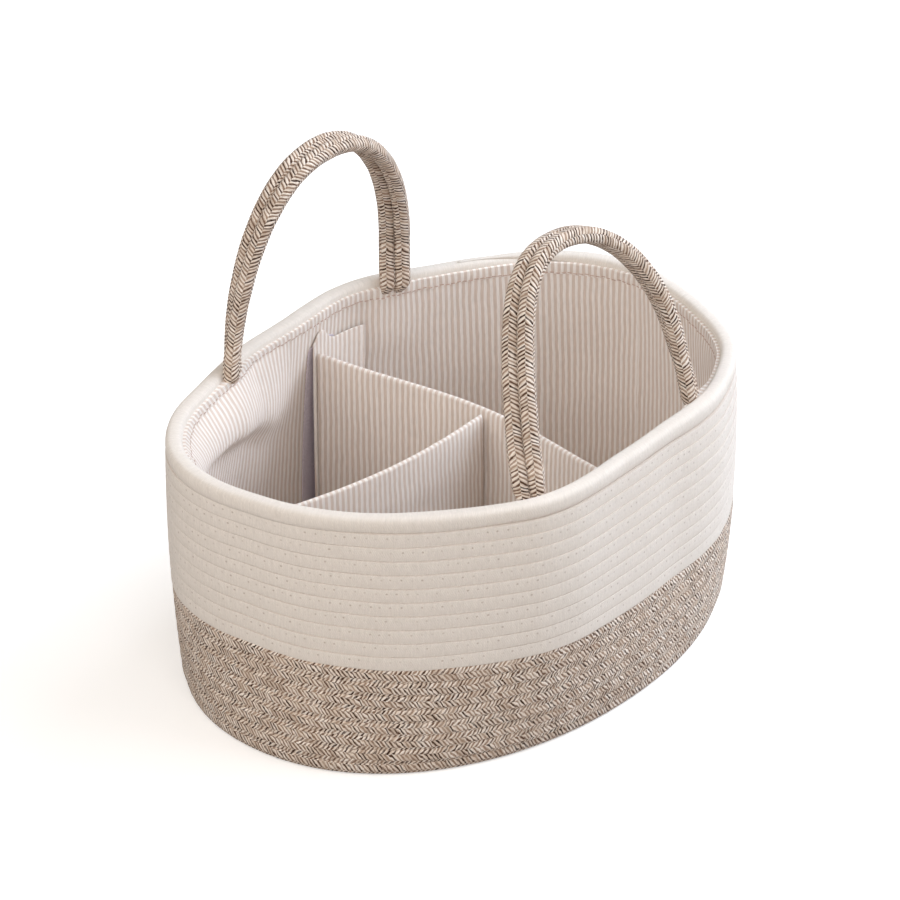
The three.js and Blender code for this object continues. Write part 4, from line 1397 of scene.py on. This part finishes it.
@dataclass
class RopeHandle:
    """A carry handle: two braided cords side by side that twist half round each other over the arch.

    The foot shifts and depths are how far its left and right feet are drawn along and into the wall, and
    the bend is a range of heights from below its pivot to above it, worked out but not used.
    """

    outline: Outline
    place: str
    side: float
    body: Body
    lean: float
    height: float
    power: float
    sway: float
    pivot_y: float = 106.81
    cord: float = 9.6
    feet_spacing: float = 136.0
    shoulder: float = 0.0
    foot_shift: Range = (0.0, 0.0)
    foot_depth: Range = (0.0, 0.0)
    press: float = 0.45
    braid_columns: int = 3
    braid_turns: Range = (0.8375, 0.6625)
    foot_twist: float = math.radians(37)
    twist_power: float = 0.6
    swell: Wave = (0.012, (9, 14, 23))
    bend: Range = (-6.0, 24.0)
    aside_heights: Range = (150.0, 186.0)
    tab_inset: float = 5.0
    tab_thickness: float = 2.2
    tab_length: float = 33.0
    steps: int = 230
    ring_points: int = 30

    @property
    def pivot_z(self) -> float:
        """Height of the line that the handle swings on."""
        return self.outline.rim_top + 0.8 + self.cord / 2

    def build(self, finishes: Finishes) -> None:
        """Make and dress the two cords.

        Args:
            finishes: The finishes to dress the pieces with.
        """
        spread = self.cord / 2 - self.press
        for word, sign in (("inner", 1.0), ("outer", -1.0)):
            cord = self._cord(f"{self.place}_handle_{word}_braid", sign * spread)
            nodes = [f"{self.place}_handle_{part}_{word}" for part in ("left_foot", "right_foot")]
            nodes = [f"{self.place}_handle_{word}_rope", *nodes]
            dress(cord, finishes.heather_handle, None, Slot.HEATHER, *nodes)
            low = (0.0, self.side * self.pivot_y * MM, (self.pivot_z + self.bend[0]) * MM)
            high = (0.0, self.side * self.pivot_y * MM, (self.pivot_z + self.bend[1]) * MM)
            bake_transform(cord)

    def _cord(self, name: str, spread: float) -> Object:
        """Make one cord from its pressed end behind the lining, over the arch, to its other end.

        In its leaning plane the arch is |x/a|^p + |z/b|^p = 1, bowed sideways by 4 s (1 - s) at a share s
        of its height. The cord stands off that line by its spread, turned by a quarter twist that rises
        from the feet to the top.

        Args:
            name: The piece's name.
            spread: How far the cord's middle stands from the handle's middle line.

        Returns:
            The new object.
        """
        share = np.linspace(0, 1, self.steps)
        turn = share * math.pi
        power = 2 / self.power
        up_share = np.abs(np.sin(turn)) ** power
        reach = self.feet_spacing / 2 * np.sign(np.cos(turn)) * np.abs(np.cos(turn)) ** power
        reach = reach + self.sway * 4 * up_share * (1 - up_share)
        reach = reach + self.shoulder * up_share * np.maximum(-np.cos(turn), 0) ** 0.6
        line = np.stack([reach, np.zeros_like(reach), self.height * up_share], -1)
        flat = resample(line, self.steps)
        length = run_length(line)
        share = np.interp(np.linspace(0, length[-1], self.steps), length, share)
        run = unit(np.gradient(flat, axis=0))
        run[0], run[-1] = (0, 0, 1), (0, 0, -1)
        inside = np.cross(run, (0.0, 1.0, 0.0))
        twist = between(self.foot_twist, math.pi / 2, (1 - np.abs(2 * share - 1)) ** self.twist_power)
        depth = np.array([0.0, self.side, 0.0])
        middle = flat + inside * (spread * np.cos(twist))[:, None]
        middle = middle + depth * (spread * np.sin(twist))[:, None]
        lean = math.radians(self.side * self.lean)
        c, s = math.cos(lean), math.sin(lean)
        tip = np.array([[1, 0, 0], [0, c, -s], [0, s, c]])
        middle = middle @ tip.T + (0.0, self.side * self.pivot_y, self.pivot_z)
        middle = middle + self._foot_offset(middle[:, 0], middle[:, 2])
        across = np.tile(tip[:, 1], (self.steps, 1))

        # The feet take the place of the arch's first and last points, and the kinks there are eased.
        radius = np.full(self.steps, self.cord / 2)
        arch = (middle, inside @ tip.T, across, radius, radius)
        parts = zip(self._foot(1.0, spread), arch, self._foot(-1.0, spread))
        centre, first, second, wide, thick = (np.concatenate([a, b[3:-3], c[::-1]]) for a, b, c in parts)
        centre, first, second = (self._eased(values) for values in (centre, first, second))
        angle = np.linspace(0, TAU, self.ring_points + 1)
        along = run_length(centre)
        along_share = along / along[-1]
        swell = 1 + periodic_wave(along_share, self.swell, 51 if spread > 0 else 52)
        c, s = np.cos(angle[:-1]), np.sin(angle[:-1])
        rings = centre[:, None] + unit(first)[:, None] * (c * (wide * swell)[:, None])[..., None]
        rings = rings + unit(second)[:, None] * (s * (thick * swell)[:, None])[..., None]
        drift = 0.05 * np.sin(along / 41 + spread) + np.interp(along_share, (0.1, 0.9), self.braid_turns)
        columns = self.braid_columns * angle[None] / TAU + drift[:, None]
        return tube(name, rings, pairs(along[:, None], columns))

    def _foot_offset(self, end: Numbers, height: Array) -> Array:
        """How far a leg's lower part is drawn aside with the wall that it is sewn to, by its X.

        Args:
            end: The leg's end or its X: above 0 is the right leg.
            height: Height in millimetres.

        Returns:
            Offsets in X, Y and Z.
        """
        share = 1 - smooth_step(height, *self.aside_heights)
        foot = np.where(np.asarray(end) > 0, 1, 0)
        aside, back = (np.array(pair)[foot] * share for pair in (self.foot_shift, self.foot_depth))
        return np.stack([aside, -self.side * back, 0 * share], -1)

    @staticmethod
    def _eased(values: Array) -> Array:
        """Round off the kinks of a run of points with a short moving average, its ends kept.

        Args:
            values: The points, or directions at them.

        Returns:
            As many points, eased.
        """
        padded = np.concatenate([values[:1].repeat(4, 0), values, values[-1:].repeat(4, 0)])
        kernel = np.array([1, 2, 3, 4, 5, 4, 3, 2, 1]) / 25
        return np.stack([np.convolve(column, kernel, "valid") for column in padded.T], -1)

    def _foot(self, end: float, spread: float) -> tuple[Array, Array, Array, Array, Array]:
        """Work out one cord's end: pressed flat behind the lining, round where it leaves the rim.

        Args:
            end: 1 for the foot at +X and -1 for the one at -X.
            spread: How far the cord's middle stands from the handle's middle line.

        Returns:
            Middles, two directions across, and the half sizes along them, from the bottom up.
        """
        shape = self.outline
        tab_top = shape.lining_top - 3.0
        height = np.linspace(tab_top - self.tab_length, self.pivot_z - 1.0, 44)
        flat = 1 - smooth_step(height, tab_top - 5, shape.lining_top + 3.5)
        shift = self._foot_offset(end, height)
        x = end * (self.feet_spacing / 2 - spread * math.cos(self.foot_twist)) + shift[:, 0]
        inset = self.tab_inset + self.tab_thickness / 2
        guess = 1.05 if end > 0 else math.pi - 1.05
        angle = shape.angle_at(x, height, self.side, lambda *_: inset, guess)
        normal = shape.normal(angle, height)
        y = self.side * (self.pivot_y + spread * math.sin(self.foot_twist)) + shift[:, 1]
        y = between(y, shape.ring(angle, height, inset)[:, 1], flat)
        plain = np.array([-end, 0.0, 0.0])
        along = square_to(normal)
        along = along * np.sign(along @ plain)[:, None]
        first = unit(between(plain, along, flat[:, None]))
        second = square_to(first)
        second = second * np.sign(second[:, 1:2])
        radius = self.cord / 2
        wide, thick = between(radius, radius * 0.95, flat), between(radius, self.tab_thickness / 2, flat)
        return np.stack([x, y, height], -1), first, second, wide, thick


def padded_slab(
    name: str,
    line: Array,
    bottom: float,
    top: Numbers,
    thickness: float,
    seed: int = 1,
    crease: float = 0.35,
    pinch: float = 0.62,
    lean: Numbers = 0.0,
) -> Object:
    """Make a padded upright board in its sewn cover.

    Its section is two faces and two round edges. The faces swell between pinched edges, the two ends
    are rounded off in plan, and soft creases run over both faces.

    Args:
        name: The piece's name.
        line: Plan points of the middle line, in millimetres, as (points, 2).
        bottom: Height of its lower edge.
        top: Height of its upper edge along the line.
        thickness: Thickness in its middle.
        seed: Seed of the creases.
        crease: Height of the creases.
        pinch: Share of the thickness that is left at the sewn edges.
        lean: How far the line's points move in X per millimetre below the top.

    Returns:
        The new object.
    """
    along = run_length(line)
    top = np.broadcast_to(top, along.shape).astype(float)[:, None]
    side = -square_to(unit(np.gradient(line, axis=0)))
    face, level = np.linspace(0, 1, 26), np.zeros(26)
    arc = np.linspace(0, math.pi, 9)[1:-1]
    edge = thickness * pinch / 2
    swell = ((1 - pinch) * np.sin(math.pi * face) ** 0.55 + pinch) * thickness / 2
    width = np.concatenate([swell, edge * np.cos(arc), -swell[::-1], -edge * np.cos(arc)])
    up = np.concatenate([face, np.ones(len(arc)), face[::-1], np.zeros(len(arc))])
    out = np.concatenate([level, edge * np.sin(arc), level, -edge * np.sin(arc)])
    height = between(bottom + edge, top - edge, up[None]) + out[None]
    from_end = np.minimum(along, along[-1] - along)[:, None]
    ends = np.sqrt(np.clip(1 - (1 - np.clip(from_end / (thickness / 2), 0, 1)) ** 2, 0.0025, 1))
    fold = ripples(along[:, None], height + 40 * (width > 0), crease, 34, seed)
    fold = fold * np.sin(math.pi * up) ** 0.7 * smooth_step(from_end, 0, 9)
    offset = width[None] * ends + fold
    x = line[:, 0, None] + side[:, 0, None] * offset + (top - height) * lean
    y = line[:, 1, None] + side[:, 1, None] * offset
    girth = run_length(np.stack([width, height[0]], -1))
    girth = np.append(girth, girth[-1] + edge)
    shear = 0.6 * np.sin(height / 23 + seed)
    shear = np.concatenate([shear, shear[:, :1]], axis=1)
    return tube(name, np.stack([x, y, height], -1), pairs(along[:, None] + shear, girth[None]))


def tape_on_lining(name: str, lining: Lining, side: float, edges: Range, heights: Range) -> Object:
    """Make a tape that follows the lining of a long side.

    Its upper corners are rounded: near them, the rows draw in as a circle does.

    Args:
        name: The piece's name.
        lining: The lining that carries it.
        side: 1 for the far side and -1 for the near one.
        edges: Its left and right edges in X.
        heights: Its lower and upper edges.

    Returns:
        The new object.
    """
    gap, thickness, radius = 0.05, 0.6, 5.0
    height = np.linspace(*heights, 70)[:, None]
    over = np.clip(height - (heights[1] - radius), 0, radius * 0.995)
    draw = radius - np.sqrt(radius**2 - over**2)
    x = edges[0] + draw + (edges[1] - edges[0] - 2 * draw) * np.linspace(0, 1, 18)[None]
    height = np.broadcast_to(height, x.shape)
    angle = lining.outline.angle_at(x, height, side, lambda *at: lining.face(*at) + gap)
    face = lining.face(angle, height) + gap
    back, front = (lining.outline.ring(angle, height, face + part) for part in (0.0, thickness))
    return shell(name, front, back, pairs(x, height))


@dataclass
class DividerInsert:
    """The main divider with its end wings and hook tapes, and the loop tapes on the lining."""

    lining: Lining
    thickness: float = 6.0
    bottom: float = 9.58
    below_rim: float = 32.0
    place_x: float = 14.0
    far_shift: float = -8.0
    far_rise: float = 4.5
    bow: float = 12.0
    end_gap: float = 4.2
    wing_length: float = 30.0
    wing_thickness: float = 2.2
    far_wing_rise: float = 7.0
    far_wing_peak: float = 10.0
    tape_thickness: float = 1.0
    tape_width: float = 25.0
    loop_foot: float = 12.0

    @property
    def top(self) -> float:
        """Height of the insert's upper edge."""
        return self.lining.outline.rim_top - self.below_rim

    def build(self, finishes: Finishes) -> None:
        """Make and dress the insert's fixed pieces.

        Args:
            finishes: The finishes to dress the pieces with.
        """
        line = self._line()
        top = self.top + self.far_rise * np.clip((line[:, 1] + 20) / 120, 0, 1) ** 2
        divider = padded_slab("main_divider_pad", line, self.bottom, top, self.thickness, 17)
        dress(divider, finishes.ticking, Body.INSERT, Slot.CLOTH, "main_divider_cover")
        core = foam_core("main_divider_core", line, slice(6, -6), self.bottom, top, self.thickness)
        dress(core, finishes.foam, Body.INSERT, Slot.FOAM, "main_divider_board")
        for side, word in ((-1.0, "near"), (1.0, "far")):
            self._side_pieces(side, word, finishes)

    def _line(self) -> Array:
        """The divider's plan line: straight across, bowed by a squared cosine.

        Returns:
            Plan points, as (points, 2).
        """
        share = np.linspace(-1, 1, 180)
        x = self.place_x + self.bow * np.cos(share * math.pi / 2) ** 2
        x = x + self.far_shift * np.clip(share, 0, 1) ** 2
        near = self._wall_line(-1.0, (x[0], x[0]), 0.0, 1)[0, 1]
        far = self._wall_line(1.0, (x[-1], x[-1]), 0.0, 1)[0, 1]
        y = (near + far) / 2 + share * ((far - near) / 2 - self.end_gap)
        return resample(np.stack([x, y], -1), 180)

    def _wall_line(self, side: float, ends: Range, depth: float, count: int) -> Array:
        """Follow the lining inward by a depth, at the insert's top and between two places in X.

        Args:
            side: 1 for the far side and -1 for the near one.
            ends: Its first and last X.
            depth: How far it stands off the lining.
            count: How many points it has.

        Returns:
            Plan points, as (count, 2).
        """
        x = np.linspace(*ends, count)
        height = np.full(count, self.top)
        outline = self.lining.outline
        angle = outline.angle_at(x, height, side, lambda *at: self.lining.face(*at) + depth)
        return outline.ring(angle, height, self.lining.face(angle, height) + depth)[:, :2]

    def _side_pieces(self, side: float, word: str, finishes: Finishes) -> None:
        """Make one side's wing, hook tape and loop tape.

        Args:
            side: 1 for the far side and -1 for the near one.
            word: The side's name.
            finishes: The finishes to dress the pieces with.
        """
        is_far = side > 0
        place = self.place_x + (self.far_shift if is_far else 0.0)
        start = place - self.thickness / 2
        depth = self.tape_thickness + 0.9 + self.wing_thickness / 2
        ends = (start, self.place_x + self.wing_length + (2.0 if is_far else 0.0))
        line = self._wall_line(side, ends, depth, 40)
        run = line[:, 0] - line[0, 0]
        peak = self.far_wing_peak * np.exp(-(((run - 8) / 7) ** 2))
        top = self.top + (peak + self.far_wing_rise if is_far else 0.0)
        wing = padded_slab(f"{word}_divider_wing_pad", line, self.bottom, top, self.wing_thickness, 29, 0.2)
        dress(wing, finishes.ticking, Body.INSERT, Slot.CLOTH, f"{word}_divider_wing")
        line = self._wall_line(side, (start + 3, start + 3 + self.tape_width), 1.1, 26)
        low, high = self.bottom + 3, self.top - 3
        hook = padded_slab(f"{word}_hook_tape", line, low, high, self.tape_thickness * 0.8, 31, 0.02, 0.9)
        dress(hook, finishes.tape, Body.INSERT, Slot.TAPE, f"{word}_hook_strip")
        left = place - (5 if is_far else 9)
        edges = (left, left + self.tape_width)
        heights = (self.bottom + self.loop_foot, self.top + (9 if is_far else 12))
        loop = tape_on_lining(f"{word}_loop_tape", self.lining, side, edges, heights)
        dress(loop, finishes.tape, Body.CADDY, Slot.TAPE, f"{word}_loop_strip")


def foam_core(
    name: str, line: Array, part: slice, bottom: float, top: Array, thickness: float, lean: Numbers = 0.0
) -> Object:
    """Make the foam board inside a divider, over part of its line and clear of its cover's edges."""
    return padded_slab(name, line[part], bottom + 1.5, (top - 2)[part], thickness * 0.4, 1, 0.0, 0.9, lean)


@dataclass
class CrossDivider:
    """The cross divider: a padded board sewn to the main one, with a hook tape on its free end."""

    insert: DividerInsert
    thickness: float = 5.0
    top_drop: float = 1.5
    end_y: float = 26.0
    dip: float = 5.0
    pivot_x: float = 22.0
    end_gap: float = 3.6
    wall_angle: float = math.pi - 0.165
    loop_span: Range = (4.6, 13.6)
    points: int = 150

    def build(self, finishes: Finishes) -> None:
        """Make and dress the divider, its hook tape and the loop tape on the end wall.

        Args:
            finishes: The finishes to dress the pieces with.
        """
        bottom, top = self.insert.bottom, self.insert.top - self.top_drop
        share = np.linspace(0, 1, self.points)
        foot, head = self._wall_x(bottom + 4), self._wall_x(top)
        x = self.pivot_x + (head + self.end_gap - self.pivot_x) * share
        y = self.end_y * share**2 - self.dip * np.sin(math.pi * share)
        line = resample(np.stack([x, y], -1), self.points)
        end_lean = (foot - head) / (top - bottom - 4)
        lean = (end_lean * share)[:, None]
        pad = padded_slab("cross_divider_pad", line, bottom, top, self.thickness, 37, 0.45, lean=lean)
        dress(pad, finishes.ticking, None, Slot.CLOTH, "cross_divider_cover")
        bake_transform(pad)
        part = slice(14, -8)
        tops = np.full(self.points, top)
        core = foam_core("cross_divider_core", line, part, bottom, tops, self.thickness, lean[part])
        dress(core, finishes.foam, Body.CROSS, Slot.FOAM, "cross_divider_board")
        hook = self._hook_tape("cross_hook_tape", line, top, end_lean)
        dress(hook, finishes.tape, Body.CROSS, Slot.TAPE, "cross_hook_strip")
        dress(self._loop_tape("end_loop_tape"), finishes.tape, Body.CADDY, Slot.TAPE, "end_loop_strip")

    def _wall_x(self, height: float) -> float:
        """X of the lining's inner face where the cross divider meets the end wall.

        Args:
            height: Height in millimetres.

        Returns:
            X in millimetres.
        """
        angle, height = np.array([self.wall_angle]), np.array([height])
        lining = self.insert.lining
        return float(lining.outline.ring(angle, height, lining.face(angle, height))[0, 0])

    def _hook_tape(self, name: str, line: Array, top: float, lean: float) -> Object:
        """Make the hook tape across the free end, which leans with it: two flat faces, one behind the other.

        Args:
            name: The piece's name.
            line: The divider's plan line.
            top: Height of its upper edge.
            lean: Millimetres in X for each one below the top.

        Returns:
            The new object.
        """
        run = unit(line[-1] - line[-2])
        height = np.linspace(self.insert.bottom + 1, top - self.thickness / 2, 40)[:, None]
        place = np.linspace(-1, 1, 10)[None] * (self.thickness / 2 - 0.3)
        faces = []
        for out in (0.15, 0.95):
            x = line[-1, 0] + run[0] * out + run[1] * place + (top - height) * lean
            y = line[-1, 1] + run[1] * out - run[0] * place
            faces.append(np.stack(np.broadcast_arrays(x, y, height), -1))
        return shell(name, *faces, pairs(place, height))

    def _loop_tape(self, name: str) -> Object:
        """Make the loop tape that the hook tape sticks to: two faces that follow the lining's end wall.

        Args:
            name: The piece's name.

        Returns:
            The new object.
        """
        lining = self.insert.lining
        height = np.linspace(self.insert.bottom + self.insert.loop_foot, self.insert.top, 60)[:, None]
        angle = math.pi - np.linspace(*map(math.radians, self.loop_span), 20)[None]
        face = lining.face(angle, height)
        front, back = (lining.outline.ring(angle, height, face + part) for part in (0.65, 0.05))
        return shell(name, front, back, pairs(np.linspace(0, self.insert.tape_width, 20)[None], height))


def directions(azimuth: float, elevation: float) -> tuple[Vector, Vector, Vector]:
    """Right, up and backward directions of a view from an azimuth and elevation in degrees.

    Args:
        azimuth: Degrees round Z, 0 from the near side.
        elevation: Degrees above the floor.

    Returns:
        The three directions, each of length 1.
    """
    a, e = math.radians(azimuth), math.radians(elevation)
    back = Vector((math.sin(a) * math.cos(e), -math.cos(a) * math.cos(e), math.sin(e)))
    right = Vector((math.cos(a), math.sin(a), 0.0))
    return right, back.cross(right), back


@dataclass(frozen=True)
class SoftLamp:
    """A square soft lamp in a direction from the caddy, in degrees, metres and watts."""

    name: str
    colour: str
    azimuth: float
    elevation: float
    power: float
    distance: float = 2.0
    size: float = 1.6
    aim: float = 0.1

    def hang(self) -> None:
        """Add the lamp to the scene."""
        _, _, back = directions(self.azimuth, self.elevation)
        data = bpy.data.lights.new(self.name, "AREA")
        data.shape = "SQUARE"
        data.size = self.size
        data.energy = self.power
        data.color = linear(self.colour)[:3]
        lamp = new_object(self.name, data)
        lamp.location = Vector((0, 0, self.aim)) + back * self.distance
        lamp.rotation_euler = (-back).to_track_quat("-Z", "Y").to_euler()


@dataclass
class Studio:
    """Camera, soft lamps and a white paper sweep.

    The middle is the pixel of the photograph's square frame where the rim's middle falls.
    """

    azimuth: float = -49.5
    elevation: float = 29.4
    distance: float = 2400.0
    focus_height: float = 158.0
    focal_pixels: float = 4317.6
    frame_pixels: float = 900.0
    middle: Range = (456.4, 376.7)
    sensor: float = 36.0
    room_tint: str = "#fffbf8"
    room_strength: float = 0.37
    floor_half: float = 6.0
    lamps: tuple[SoftLamp, ...] = (
        SoftLamp("left_lamp", "#fff9f3", -100.0, 42.0, 17.5),
        SoftLamp("front_lamp", "#fff8f2", -45.0, 28.0, 10.5),
        SoftLamp("right_lamp", "#e9f2ff", 40.0, 38.0, 22.0),
        SoftLamp("end_lamp", "#e9f2ff", 75.0, 34.0, 36.0),
    )

    def build(self) -> None:
        """Set the camera, the lamps, the world and the floor."""
        self._camera()
        for lamp in self.lamps:
            lamp.hang()
        bpy.context.scene.view_settings.view_transform = "Standard"
        self._room()
        self._floor()

    def _camera(self) -> None:
        """Place the camera so that the rim's middle falls on its pixel."""
        right, up, back = directions(self.azimuth, self.elevation)
        half = self.frame_pixels / 2
        aside, down = ((half - pixel) / self.focal_pixels for pixel in self.middle)
        look = -back + right * aside - up * down
        data = bpy.data.cameras.new("photo_camera")
        data.sensor_width = self.sensor
        data.lens = self.focal_pixels * self.sensor / self.frame_pixels
        data.clip_end = 20.0
        camera = new_object("photo_camera", data)
        camera.location = Vector((0, 0, self.focus_height * MM)) + back * (self.distance * MM)
        camera.rotation_euler = look.to_track_quat("-Z", "Y").to_euler()
        bpy.context.scene.camera = camera

    def _room(self) -> None:
        """Light the room softly all round, and show the camera plain white."""
        world = bpy.data.worlds.new("soft_studio")
        world.use_nodes = True
        graph = Graph(world.node_tree)
        room = graph.add("Background", {"Color": linear(self.room_tint), "Strength": self.room_strength})
        white = graph.add("Background", {"Color": WHITE, "Strength": 1.0})
        seen = graph.add("MixShader", {0: graph.shown_rays(), 1: room, 2: white})
        graph.add("OutputWorld", {"Surface": seen})
        bpy.context.scene.world = world

    def _floor(self) -> None:
        """Lay the paper sweep under the caddy."""
        mesh = bpy.data.meshes.new("paper_sweep")
        half = self.floor_half
        corners = [(-half, -half, 0), (half, -half, 0), (half, half, 0), (-half, half, 0)]
        mesh.from_pydata(corners, [], [(0, 1, 2, 3)])
        floor = new_object("paper_sweep", mesh)
        floor.data.materials.append(PaperSweepFinish().build())


def main() -> None:
    """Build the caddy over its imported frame."""
    logging.basicConfig(level=logging.INFO, format="%(name)s: %(message)s")
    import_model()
    Studio().build()
    finishes = Finishes()
    outline = Outline()
    RopeBody(outline).build(finishes)
    lining = Lining(outline)
    lining.build(finishes)
    near_arch = {"lean": 21.0, "height": 109.0, "power": 2.22, "sway": 6.0, "shoulder": 7.0}
    near_feet = {"foot_shift": (2.0, 5.0)}
    far_arch = {"lean": 5.0, "height": 105.0, "power": 2.15, "sway": 1.0, "braid_turns": (0.3375, 0.1625)}
    far_feet = {"foot_shift": (-7.0, -5.0), "foot_depth": (6.5, 6.5)}
    RopeHandle(outline, "near", -1.0, Body.NEAR_HANDLE, **near_arch, **near_feet).build(finishes)
    RopeHandle(outline, "far", 1.0, Body.FAR_HANDLE, **far_arch, **far_feet).build(finishes)
    insert = DividerInsert(lining)
    insert.build(finishes)
    CrossDivider(insert).build(finishes)


if __name__ == "__main__":
    main()
